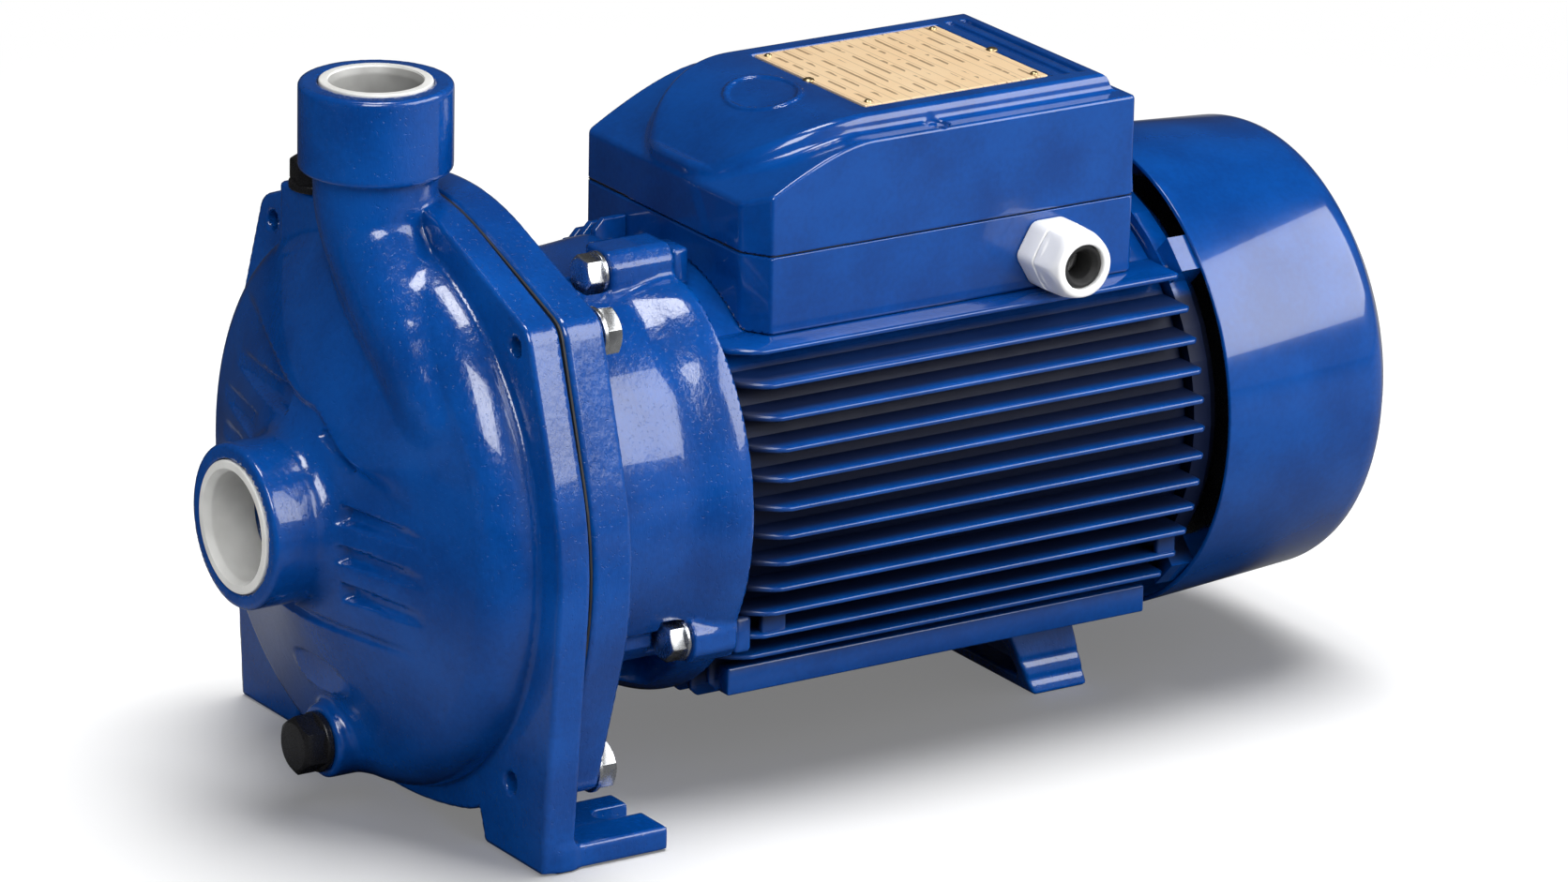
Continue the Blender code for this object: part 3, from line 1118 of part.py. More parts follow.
def build_gland():
    """The cable gland: a hexagon body, a domed nut and the rubber seal inside."""
    face = BOX_HALF_WIDTH + GAP
    at = place(GLAND_STATION, face, GLAND_HEIGHT)
    body = rod("gland_body", GLAND_ACROSS_FLATS / math.sqrt(3), GLAND_HEX_LENGTH, at, RIGHT, 6)
    soften(body, 0.8 * MM)
    shank = rod("gland_shank", GLAND_SHANK_RADIUS, GLAND_SHANK_LENGTH,
                place(GLAND_STATION, face - GLAND_SHANK_LENGTH, GLAND_HEIGHT), RIGHT, 20)
    join(body, shank)
    cut(body, rod("gland_bore", GLAND_BORE_RADIUS, 40 * MM,
                  place(GLAND_STATION, face - GLAND_SHANK_LENGTH + 2 * MM, GLAND_HEIGHT), RIGHT, 20))
    keep(body, "white_nylon")

    start = face + GLAND_HEX_LENGTH + GAP
    radius = GLAND_ACROSS_FLATS / 2
    seat = GLAND_SEAL_RADIUS + GAP
    profile = [(seat, 0), (radius, 0), (radius, -GLAND_NUT_LENGTH * 0.45)]
    profile += [(radius - 3 * MM + x, -GLAND_NUT_LENGTH + 5 * MM - y)
                for x, y in arc(0, 0, 3 * MM, 0, 60, 3)]
    profile += [(seat + MM, -GLAND_NUT_LENGTH), (seat, -GLAND_NUT_LENGTH)]
    profile.reverse()
    nut = turned("gland_nut", profile, steps=22, closed=True,
                 at=place(GLAND_STATION, start, GLAND_HEIGHT), turn=RIGHT)
    keep(nut, "white_nylon")
    seal_profile = [(GLAND_BORE_RADIUS, -GLAND_NUT_LENGTH + MM),
                    (GLAND_SEAL_RADIUS, -GLAND_NUT_LENGTH + MM),
                    (GLAND_SEAL_RADIUS, -MM), (GLAND_BORE_RADIUS, -MM)]
    seal = turned("gland_seal", seal_profile, steps=20, closed=True,
                  at=place(GLAND_STATION, start, GLAND_HEIGHT), turn=RIGHT)
    keep(seal, "black_rubber")


def main():
    build_pump_body()
    build_port_ring("suction_port_ring", SUCTION_RING_RADIUS, SUCTION_BORE_RADIUS,
                    SUCTION_RING_LENGTH, place(0), FORWARD)
    build_port_ring("discharge_port_ring", DISCHARGE_RING_RADIUS, DISCHARGE_BORE_RADIUS,
                    DISCHARGE_RING_LENGTH, place(DISCHARGE_STATION, 0, DISCHARGE_HEIGHT), UP)
    build_plug("priming_plug", place(PRIMING_STATION, PRIMING_X, PRIMING_BLOCK_TOP + GAP), UP)
    build_plug("drain_plug", place(DRAIN_BOSS_FRONT - GAP, 0, DRAIN_HEIGHT), FORWARD)
    build_gasket()
    build_bracket()
    for side, hand in ((1, "right"), (-1, "left")):
        for height, word in ((LUG_Z, "upper"), (-LUG_Z, "lower")):
            build_bolt(f"body_bolt_{word}_{hand}", BODY_BOLT_ACROSS_FLATS,
                       PLATE_THICKNESS + BODY_BOLT_GRIP,
                       place(PLATE_BACK + GAP, side * LUG_X, height), BACKWARD)
    for name, x, z, lug_length in motor_bolt_places():
        build_bolt(name, MOTOR_BOLT_ACROSS_FLATS, lug_length + MOTOR_BOLT_GRIP,
                   place(BRACKET_END - lug_length - GAP, x, z), FORWARD)
    build_housing()
    build_rear_foot()
    build_shield()
    build_shaft()
    build_impeller()
    build_slinger()
    build_fan()
    build_cover()
    build_box_base()
    build_box_seam()
    build_box_lid()
    build_nameplate()
    build_lid_screws()
    build_gland()


for old in list(bpy.data.objects):
    bpy.data.objects.remove(old)
parts = collection("surface_water_pump")
tools = collection("cutters")
main()
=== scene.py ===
# %% [markdown]
# # A surface water pump, dressed over its frame
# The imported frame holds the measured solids. Each cell below makes one piece or one finish of
# the real pump, places it by the frame, and says why it was made that way.

# %% Load the frame
import json
from math import acos, atan2, cos, hypot, pi, radians, sin, sqrt, tan

import bmesh
import bpy
import numpy as np
from mathutils import Matrix, Vector

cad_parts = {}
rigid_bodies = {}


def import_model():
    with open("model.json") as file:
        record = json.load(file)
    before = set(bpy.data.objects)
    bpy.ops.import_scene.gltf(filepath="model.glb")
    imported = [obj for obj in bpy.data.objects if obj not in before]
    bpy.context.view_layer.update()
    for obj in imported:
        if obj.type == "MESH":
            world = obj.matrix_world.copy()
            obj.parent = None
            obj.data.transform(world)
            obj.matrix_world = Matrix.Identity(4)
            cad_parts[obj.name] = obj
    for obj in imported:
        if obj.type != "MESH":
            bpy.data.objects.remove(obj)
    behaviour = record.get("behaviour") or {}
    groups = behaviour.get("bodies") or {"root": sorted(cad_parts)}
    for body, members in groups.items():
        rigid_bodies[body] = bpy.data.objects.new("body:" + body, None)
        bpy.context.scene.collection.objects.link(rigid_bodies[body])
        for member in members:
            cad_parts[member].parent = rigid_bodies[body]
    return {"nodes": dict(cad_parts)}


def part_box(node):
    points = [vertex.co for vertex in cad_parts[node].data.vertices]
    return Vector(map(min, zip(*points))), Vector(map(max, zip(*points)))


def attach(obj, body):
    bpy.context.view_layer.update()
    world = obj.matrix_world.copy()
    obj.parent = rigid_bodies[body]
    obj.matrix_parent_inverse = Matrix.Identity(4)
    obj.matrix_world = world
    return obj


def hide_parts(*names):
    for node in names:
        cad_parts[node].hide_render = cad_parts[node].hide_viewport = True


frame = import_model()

scene = bpy.context.scene
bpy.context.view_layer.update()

# %% [markdown]
# ## Places
# A pump is drawn from its shaft. So places here are millimetres: across the shaft to the side
# of the cable gland, back from the face of the suction port (the station), and up from the
# shaft. The suction ring's own box in the frame says where that shaft lies in the scene.

# %% Side, station and height
ring_low, ring_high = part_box("suction_port_ring")
SHAFT_START = np.array([0.0, ring_low.y, (ring_low.z + ring_high.z) / 2])


def spot(side, station, height):
    """The scene's point, in metres, for a side, station and height in millimetres."""
    return Vector(SHAFT_START + np.array([side, station, height]) / 1000)


def span(node):
    """The lowest and highest side, station and height of a solid of the frame."""
    low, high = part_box(node)
    return [(np.array(corner) - SHAFT_START) * 1000 for corner in (low, high)]


def centre(node):
    low, high = span(node)
    return (low + high) / 2


FLOOR = -SHAFT_START[2] * 1000
print("shaft height", round(-FLOOR, 2), "mm")


# %% [markdown]
# ## Shader arithmetic
# Worn paint, casting skin and brushed metal are all sums and products of patterns. Writing
# them as plain arithmetic keeps a recipe readable, so one small class wraps a node's socket.

# %% A socket that can be reckoned with
class Wire:
    """An output of a material's node tree, with the arithmetic of its number."""

    def __init__(self, tree, socket=None):
        self.tree = tree
        self.socket = socket

    def node(self, kind, settings=None, inputs=None, output=0):
        """A new node: its settings first, then the values or links of its sockets."""
        node = self.tree.nodes.new("ShaderNode" + kind)
        for key, value in (settings or {}).items():
            setattr(node, key, value)
        for key, value in (inputs or {}).items():
            socket = node.inputs[key]
            if isinstance(value, Wire):
                self.tree.links.new(value.socket, socket)
            else:
                socket.default_value = value
        return Wire(self.tree, node.outputs[output])

    def reckon(self, operation, a, b=0.0):
        """One step of arithmetic on numbers or sockets."""
        return self.node("Math", {"operation": operation}, {0: a, 1: b})

    def __add__(self, other):
        return self.reckon("ADD", self, other)

    __radd__ = __add__

    def __sub__(self, other):
        return self.reckon("SUBTRACT", self, other)

    def __rsub__(self, other):
        return self.reckon("SUBTRACT", other, self)

    def __mul__(self, other):
        return self.reckon("MULTIPLY", self, other)

    __rmul__ = __mul__

    def __truediv__(self, other):
        return self.reckon("DIVIDE", self, other)

    def over(self, level, width):
        """0 below a level and 1 above it, with a soft step of some width."""
        return self.node("MapRange", {"interpolation_type": "SMOOTHSTEP"},
                         {"Value": self, "From Min": level - width, "From Max": level + width})

    def mix(self, low, high):
        """Between two colours or sockets, by this mask."""
        return self.node("MixRGB", {}, {"Fac": self, "Color1": low, "Color2": high})


print("arithmetic ready")

# %% [markdown]
# A finish starts from the Principled shader. Its patterns are given in millimetres of the
# real object, so a recipe can be checked against a ruler.

# %% A finish and its patterns


class Finish:
    """A Principled material with the patterns that a finish needs."""

    def __init__(self, name, colour, roughness, metallic=0.0, **constants):
        self.material = bpy.data.materials.new(name)
        self.material.use_nodes = True
        self.tree = self.material.node_tree
        self.shader = self.tree.nodes["Principled BSDF"]
        self.start = Wire(self.tree)
        self.place = self.start.node("TexCoord", output="Object")
        self.set("Base Color", (*colour, 1.0))
        self.set("Roughness", roughness)
        self.set("Metallic", metallic)
        for socket, value in constants.items():
            self.set(socket.replace("_", " "), value)

    def set(self, socket, value):
        """Give the shader's socket a value or a link."""
        if isinstance(value, Wire):
            self.tree.links.new(value.socket, self.shader.inputs[socket])
        else:
            self.shader.inputs[socket].default_value = value

    def noise(self, size, detail=3.0, roughness=0.55, stretch=(1, 1, 1)):
        """Noise whose spots are about so many millimetres across."""
        where = self.place
        if stretch != (1, 1, 1):
            where = self.start.node("Mapping", {}, {"Vector": self.place, "Scale": stretch})
        return self.start.node("TexNoise", {}, {"Vector": where, "Scale": 1000 / size,
                                                "Detail": detail, "Roughness": roughness})

    def part(self, axis):
        """One coordinate of the object, in millimetres."""
        return self.start.node("SeparateXYZ", {}, {"Vector": self.place}, axis) * 1000

    def tint(self, mask, low, high):
        """A colour between two, by a mask."""
        return mask.mix((*low, 1.0), (*high, 1.0))

    def relief(self, height, depth, over=None):
        """A bump whose height of 0 to 1 stands for so many millimetres."""
        inputs = {"Height": height, "Strength": 1.0, "Distance": depth / 1000}
        if over is not None:
            inputs["Normal"] = over
        return self.start.node("Bump", {}, inputs)


print("patterns ready")

# %% [markdown]
# ## Blue enamel
# The pump is painted after it is put together, with a thick glossy blue. On a sand casting the
# paint follows a coarse skin with small pits, on drawn sheet it only has orange peel. One
# recipe therefore takes the depth of the skin, and all share the colour and its slow drift.

# %% The enamel of each kind of part
BLUE = (0.001, 0.062, 0.30)
DEEP_BLUE = (0.0005, 0.038, 0.20)
# The colour of the painted shade deep between the fins.
PAINTED_GAP_SHADE = (0.0006, 0.006, 0.034)
SADDLE_HEIGHT = 47
GAP_SHADE_REACH = 85.3


def enamel(name, skin, peel, pits, reach=None):
    """Glossy blue enamel: depth of the casting skin, the orange peel and the pits, in mm.

    With reach, painted shade darkens the paint and takes away its gloss below that distance from
    the shaft and below the saddle's height, as deep between the fins.
    """
    paint = Finish(name, BLUE, 0.16, Coat_Roughness=0.04, Coat_IOR=1.5, IOR=1.45)
    drift = paint.noise(38, 2.0)
    fine = paint.noise(2.2, 2.0)
    colour = paint.tint((drift * 0.75 + fine * 0.25).over(0.5, 0.2), DEEP_BLUE, BLUE)
    dull = 0.0
    # Painted shade: near the core and below the saddle's height, the colour turns nearly black and
    # loses its gloss, as deep between the fins where light hardly reaches.
    if reach:
        side, height = paint.part("X"), paint.part("Z") + FLOOR
        out = paint.start.reckon("SQRT", side * side + height * height)
        dull = 1 - out.reckon("MAXIMUM", out.over(reach, 4), height.over(SADDLE_HEIGHT, 2))
        colour = dull.mix(colour, (*PAINTED_GAP_SHADE, 1.0))
    paint.set("Base Color", colour)
    paint.set("Roughness", 0.11 + 0.12 * paint.noise(9, 3.0) + 0.4 * dull)
    paint.set("Coat Weight", (0.7 + 0.3 * paint.noise(25, 1.0)) * (1 - dull))
    surface = paint.relief(paint.noise(5.5, 2.5), peel)
    if skin:
        surface = paint.relief(paint.noise(2.0, 3.0, 0.6, (1, 1, 0.35)), skin, surface)
    if pits:
        hollows = 1 - paint.noise(1.3, 1.0).over(0.69, 0.05)
        surface = paint.relief(hollows, pits, surface)
    paint.set("Normal", surface)
    return paint.material


cast_enamel = enamel("cast_enamel", 0.19, 0.16, 0.10)
# The fins' enamel carries painted shade deep between the fins.
fin_enamel_painted_shade = enamel("fin_enamel_painted_shade", 0.03, 0.07, 0.0, GAP_SHADE_REACH)
sheet_enamel = enamel("sheet_enamel", 0.012, 0.035, 0.0)
box_enamel = enamel("box_enamel", 0.008, 0.04, 0.0)
print("four enamels")

# %% [markdown]
# ## Metals, plastics and rubber
# The bolts are bright zinc plate, the shaft is turned steel, the impeller and the nameplate
# are brass. The port linings and the gland are pale plastic, the plugs black plastic.

# %% Bare metals


def metal(name, colour, dull, roughness, size, stretch=(1, 1, 1)):
    """A metal with stretched marks and slightly duller clouds."""
    plate = Finish(name, colour, roughness, 1.0)
    clouds = plate.noise(7, 3.0)
    marks = plate.noise(size, 3.0, 0.6, stretch)
    plate.set("Base Color", plate.tint(clouds.over(0.52, 0.2), dull, colour))
    plate.set("Roughness", roughness + 0.18 * (marks * 0.6 + clouds * 0.4) - 0.06)
    plate.set("Normal", plate.relief(marks, 0.015))
    return plate.material


zinc = metal("zinc_plate", (0.80, 0.81, 0.82), (0.56, 0.58, 0.60), 0.24, 1.2)
steel = metal("turned_steel", (0.50, 0.50, 0.51), (0.36, 0.35, 0.34), 0.3, 0.8, (1, 6, 1))
bronze = metal("impeller_brass", (0.62, 0.42, 0.17), (0.34, 0.23, 0.10), 0.35, 2.0)

# %% [markdown]
# Moulded plastic copies its mould, so it has a fine even grain and hardly any colour of its
# own beyond a slight shading. A noise under a millimetre gives the grain, and rubber is the
# same recipe with a duller surface.

# %% Plastics and rubber


def plastic(name, colour, shade, roughness, depth):
    """A moulded plastic with a fine moulded grain and slight shading."""
    stuff = Finish(name, colour, roughness)
    grain = stuff.noise(0.8, 2.0)
    stuff.set("Base Color", stuff.tint(stuff.noise(14, 2.0).over(0.5, 0.25), shade, colour))
    stuff.set("Roughness", roughness + 0.14 * grain - 0.07)
    stuff.set("Normal", stuff.relief(grain, depth))
    return stuff.material


port_white = plastic("port_lining", (0.74, 0.74, 0.72), (0.62, 0.62, 0.60), 0.42, 0.02)
nylon = plastic("gland_nylon", (0.91, 0.91, 0.90), (0.84, 0.84, 0.84), 0.34, 0.015)
# A darker grey for the inside of the discharge bore: partly the thread's own colour, partly
# painted shade of the deep bore.
bore_grey_and_shade = plastic("discharge_bore_grey_and_shade", (0.36, 0.36, 0.35), (0.27, 0.27, 0.26), 0.4, 0.02)
black_plastic = plastic("black_plastic", (0.014, 0.014, 0.016), (0.007, 0.007, 0.008), 0.26, 0.02)
rubber = plastic("black_rubber", (0.018, 0.018, 0.018), (0.010, 0.010, 0.011), 0.62, 0.03)
print("metals and plastics")

# %% [markdown]
# ## Small helpers
# Every piece ends as an object in the scene, and most begin as a loose mesh. These few lines
# are shared by all of them.

# %% Objects, meshes and rounded edges


def add_object(name, data):
    """A new object in the scene."""
    thing = bpy.data.objects.new(name, data)
    scene.collection.objects.link(thing)
    return thing


def mesh_of(form, name):
    """The mesh of a form, which is used up."""
    mesh = bpy.data.meshes.new(name)
    form.to_mesh(mesh)
    form.free()
    return mesh


def round_edges(thing, width, segments, angle):
    """Round an object's edges that are sharper than an angle, by a width in millimetres."""
    edges = thing.modifiers.new("edges", "BEVEL")
    edges.width = width / 1000
    edges.segments = segments
    edges.angle_limit = radians(angle)
    return edges


def applied(thing):
    """The mesh of an object with its modifiers, in place of the object."""
    bpy.context.view_layer.update()
    mesh = bpy.data.meshes.new_from_object(
        thing.evaluated_get(bpy.context.evaluated_depsgraph_get()))
    bpy.data.objects.remove(thing)
    return mesh


def fit(name, mesh, material, slot, *nodes):
    """Add a mesh to the pump as a piece, for the solids that it stands for."""
    piece = add_object(name, mesh)
    mesh.materials.clear()
    mesh.materials.append(material)
    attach(piece, "root")
    if nodes:
        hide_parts(*nodes)
    print(name, len(mesh.polygons), "faces")
    return piece


# %% [markdown]
# ## Castings as fields of distance
# A casting has no sharp edge: each boss runs into the next over a fillet. Bevels on joined
# meshes break down where many forms meet, so the castings here are fields. Each form says how
# far a point lies outside it, two forms join with a fillet of a true radius, and a net is
# drawn over the surface where that distance is zero.

# %% Forms and the ways to join them


def blend(a, b, radius):
    """Join two forms with a fillet."""
    u = np.maximum(radius - a, 0)
    v = np.maximum(radius - b, 0)
    return np.maximum(radius, np.minimum(a, b)) - np.hypot(u, v)


def common(a, b, radius):
    """What two forms share, with rounded edges."""
    return -blend(-a, -b, radius)


def carve(a, b, radius):
    """A form without another, with rounded edges."""
    return common(a, -b, radius)


def between(value, low, high):
    """The slab between two levels."""
    return np.maximum(low - value, value - high)


def bar(u, v, w, radius, low, high, edge):
    """A round bar along w, between two levels, with rounded edges."""
    return common(np.hypot(u, v) - radius, between(w, low, high), edge)


def brick(x, y, z, low, high, edge):
    """A rounded block between two corners."""
    sides = [between(*side) for side in zip((x, y, z), low, high)]
    return common(common(sides[0], sides[1], edge), sides[2], edge)


def hull(point, start, end, start_radius, end_radius):
    """The tapered round bar that wraps two balls."""
    way = np.subtract(end, start).astype(float)
    length = sqrt((way ** 2).sum())
    slope = (start_radius - end_radius) / length
    offset = [p - s for p, s in zip(point, start)]
    along = sum(o * w for o, w in zip(offset, way / length))
    away = np.sqrt(np.maximum(sum(o * o for o in offset) - along ** 2, 0))
    nearest = np.clip(along - away * slope / sqrt(1 - slope ** 2), 0, length)
    return np.hypot(away, along - nearest) - (start_radius - slope * nearest)


def step(value):
    """0 below zero, 1 above one, and smooth between."""
    t = np.clip(value, 0, 1)
    return t * t * (3 - 2 * t)


# %% [markdown]
# The net is the simplest one that keeps smooth surfaces smooth: one point in each small cell
# that the surface crosses, a face around each crossed edge, then every point is pulled onto
# the surface itself. The field's slope gives the shading normals, so gloss runs unbroken.

# %% Draw a net over a field


def slope_of(field, points, reach=0.2):
    """The direction in which the field grows, at each point."""
    slopes = []
    for axis in range(3):
        shift = np.zeros(3)
        shift[axis] = reach
        ahead = field(*(points + shift).T)
        behind = field(*(points - shift).T)
        slopes.append((ahead - behind) / (2 * reach))
    return np.stack(slopes, 1)


def net(name, field, low, high, size, material, slot, *nodes):
    """A piece with the surface of a field, in cells of some size in millimetres."""
    axes = [np.arange(a - size, b + 2 * size, size) for a, b in zip(low, high)]
    grid = np.meshgrid(*axes, indexing="ij", sparse=True)
    values = np.broadcast_to(field(*grid), [len(a) for a in axes]).astype(np.float32)
    inside = values < 0
    cells = np.array(values.shape) - 1
    total = np.zeros((*cells, 3), np.float32)
    count = np.zeros(cells, np.float32)
    crossings = []
    for axis in range(3):
        first, second = [slice(None)] * 3, [slice(None)] * 3
        first[axis], second[axis] = slice(None, -1), slice(1, None)
        first, second = tuple(first), tuple(second)
        a, b = values[first], values[second]
        crossed = inside[first] != inside[second]
        share = np.where(crossed, a / np.where(crossed, a - b, 1), 0)
        crossings.append(crossed)
        others = [k for k in range(3) if k != axis]
        for s, q in ((0, 0), (0, 1), (1, 0), (1, 1)):
            part = [slice(None)] * 3
            for k, shift in zip(others, (s, q)):
                part[k] = slice(shift, cells[k] + shift)
            part = tuple(part)
            hit = crossed[part]
            count += hit
            total[..., axis] += share[part]
            total[..., others[0]] += hit * s
            total[..., others[1]] += hit * q
    used = count > 0
    number = np.full(cells, -1)
    number[used] = np.arange(used.sum())
    corner = np.stack(np.nonzero(used), 1) + total[used] / count[used][:, None]
    points = corner * size + np.array([a[0] for a in axes])
    faces = []
    for axis in range(3):
        others = [k for k in range(3) if k != axis]
        edges = np.stack(np.nonzero(crossings[axis]), 1)
        edges = edges[(edges[:, others[0]] > 0) & (edges[:, others[1]] > 0)
                      & (edges[:, others[0]] < cells[others[0]])
                      & (edges[:, others[1]] < cells[others[1]])]
        ring = []
        for s, q in ((1, 1), (0, 1), (0, 0), (1, 0)):
            cell = edges.copy()
            cell[:, others[0]] -= s
            cell[:, others[1]] -= q
            ring.append(number[tuple(cell.T)])
        ring = np.stack(ring, 1)
        flip = inside[tuple(edges.T)] == (axis == 1)
        ring[flip] = ring[flip][:, ::-1]
        faces.append(ring)
    for _ in range(3):
        slopes = slope_of(field, points)
        pull = slopes * (field(*points.T) / np.maximum((slopes ** 2).sum(1), 0.05))[:, None]
        length = np.sqrt((pull ** 2).sum(1))[:, None]
        points = points - pull * np.minimum(1, 0.6 * size / np.maximum(length, 1e-9))
    normals = slope_of(field, points, 0.3)
    normals /= np.maximum(np.sqrt((normals ** 2).sum(1))[:, None], 1e-9)
    mesh = bpy.data.meshes.new(name)
    mesh.from_pydata((points / 1000 + SHAFT_START).tolist(), [], np.concatenate(faces).tolist())
    mesh.shade_smooth()
    mesh.normals_split_custom_set_from_vertices(normals.tolist())
    return fit(name, mesh, material, slot, *nodes)


# %% [markdown]
# ## The pump body
# The front casting: a domed shell with the suction collar, wedge-shaped pockets beside it, a
# neck that sweeps out of the scroll and rises to the discharge collar, a flange with lugs and
# feet. The dome's face is a height over each point, so its raised land and its pockets are
# added to that height; everything else is joined to it with fillets.

# %% The domed face
LAND_SIDES = (-78, -53, -36, -25, -11, 1, 11, 21, 26, 34, 45, 57, 71)
LAND_HEIGHTS = (61, 58, 53, 50, 45, 42, 41.5, 36, 32, 28, 25, 22, 19)
SHELL_RADIUS = 103
POCKETS = [(31, 68, 10.3, 2.9, 4.6), (31, 68, -4.2, 2.9, 4.6), (31, 68, -18.5, 2.9, 4.6),
           (-21, 64, -33.5, 1.9, 3.4), (-31, -80, 23, 4, 4.6), (-32, -80, 9.5, 4, 4.6),
           (-32, -80, -5, 4, 4.6), (-31, -78, -19, 4, 4.6), (-7, -69, 40, 4, 5.0)]


def dome_face(x, z):
    """The station of the domed face of the shell at a side and height."""
    out = np.clip((np.hypot(x, z) - 30) / 61, -0.6, 1.3)
    bulge = 4 * out * (1 - out) * (out > 0) * (out < 1)
    edge = sum(np.interp(x + d, LAND_SIDES, LAND_HEIGHTS) for d in (-3, 0, 3)) / 3
    fade = 4.5 + 22 * step((x - 38) / 34)
    land = step((z - edge) / fade + 0.3)
    face = 23 + 22 * out + bulge * (1.2 - 3.4 * land)
    for start, end, height, half, depth in POCKETS:
        along = (x - start) / (end - start)
        drop = height - 2.4 * np.clip(along, 0, 1)
        width = half * (1 - 0.25 * np.clip(along, 0, 1))
        wall = step((width - np.abs(z - drop)) / 2.5 + 0.5)
        face = face + depth * wall * step(along * abs(end - start) / 2) * np.clip(1 - along, 0, 1)
    notch = hull((x, z), (17, 34.5), (34, 27), 1.6, 1.0)
    face = face + 2.5 * step(-notch / 1.8 + 0.5)
    oval = (1 - np.hypot(x / 18, (z + 60.5) / 7)) * 7
    sink = step(oval / 1.8 + 0.5)
    return face * (1 - sink) + 35.4 * sink


# %% [markdown]
# The flange is drawn flat first: a disc, four corner lugs wrapped to it, a shallow arch below
# and two feet. The same drawing with a slightly smaller disc gives the bracket's plate.

# %% The flange drawing
LUG_SIDE, LUG_HEIGHT, LUG_RADIUS = 83.8, 80, 10
FOOT_INNER, FOOT_OUTER = 68, 106


def flange_plan(x, z, radius, lower_lugs, arch_bottom):
    """The outline of a flange, as a distance in the plane across the shaft."""
    side = np.abs(x)
    plan = np.hypot(x, z) - radius
    heights = (LUG_HEIGHT, -LUG_HEIGHT) if lower_lugs else (LUG_HEIGHT,)
    for height in heights:
        plan = np.minimum(plan, hull((side, z), (LUG_SIDE, height), (0, 0), LUG_RADIUS, radius))
    rise, half = 8.5, 60
    arch = (half ** 2 + rise ** 2) / (2 * rise)
    return common(plan, np.hypot(x, z - arch_bottom - arch) - arch, 1.5)


def foot_plan(x, z, radius):
    """The outline of the two feet below the flange."""
    side = np.abs(x)
    reach = hypot(FOOT_OUTER, FLOOR)
    lean = atan2(FLOOR, FOOT_OUTER) + acos(radius / reach)
    outer = side * cos(lean) + z * sin(lean) - radius
    inner = (FOOT_INNER - 1.5 - side) * 0.94 - (z - FLOOR) * 0.33
    box = common(common(outer, inner, 1.0), FLOOR - z, 1.2)
    return np.maximum(box, z + 10)


# %% [markdown]
# The neck carries the water from the scroll up to the discharge port and grows wider on its
# way. A swept tube would need its joints mended by hand; tapered bars between balls along a
# smooth route are already a field, so the neck blends with the dome like every other form.

# %% The neck of the discharge port
NECK_ROUTE = [(0, 57.6, 128, 22), (0.3, 57.4, 112, 21.2), (5, 56.5, 98, 19.3),
              (21, 54, 83, 18), (42, 52, 66, 16.5), (59, 52.5, 47, 14.5), (70, 59, 27, 8)]


def smooth_route(points, parts=3):
    """More points along a route, on a smooth curve through the given ones."""
    points = np.array(points, float)
    ends = np.vstack([2 * points[0] - points[1], points, 2 * points[-1] - points[-2]])
    route = []
    for i in range(len(points) - 1):
        a, b, c, d = ends[i:i + 4]
        for t in np.arange(parts) / parts:
            route.append(0.5 * (2 * b + (c - a) * t + (2 * a - 5 * b + 4 * c - d) * t ** 2
                                + (3 * b - a - 3 * c + d) * t ** 3))
    return route + [points[-1]]


def neck(x, y, z):
    """Tapered round bars along the route, blended into one swept form."""
    route = smooth_route(NECK_ROUTE)
    bars = [hull((x, y, z), a[:3], b[:3], a[3], b[3]) for a, b in zip(route, route[1:])]
    joined = bars[0]
    for other in bars[1:]:
        joined = blend(joined, other, 1.5)
    return joined


# %% [markdown]
# Now the casting is put together as a foundry would: first everything solid, each form with
# its own fillet, then the slots, the bolt holes and the waterways that are cut out of it.

# %% The whole pump body
FLANGE_FRONT, FLANGE_BACK = 64, 77
PORT_STATION, PORT_TOP, PORT_RADIUS = 57.6, 155, 27.4
SUCTION_BORE, DISCHARGE_BORE = 19.4, 15.5
DRAIN_HEIGHT, PRIMING_SIDE, PRIMING_STATION = -86.6, -38, 57
ANCHOR_STATION, WALL = 104, 5.5


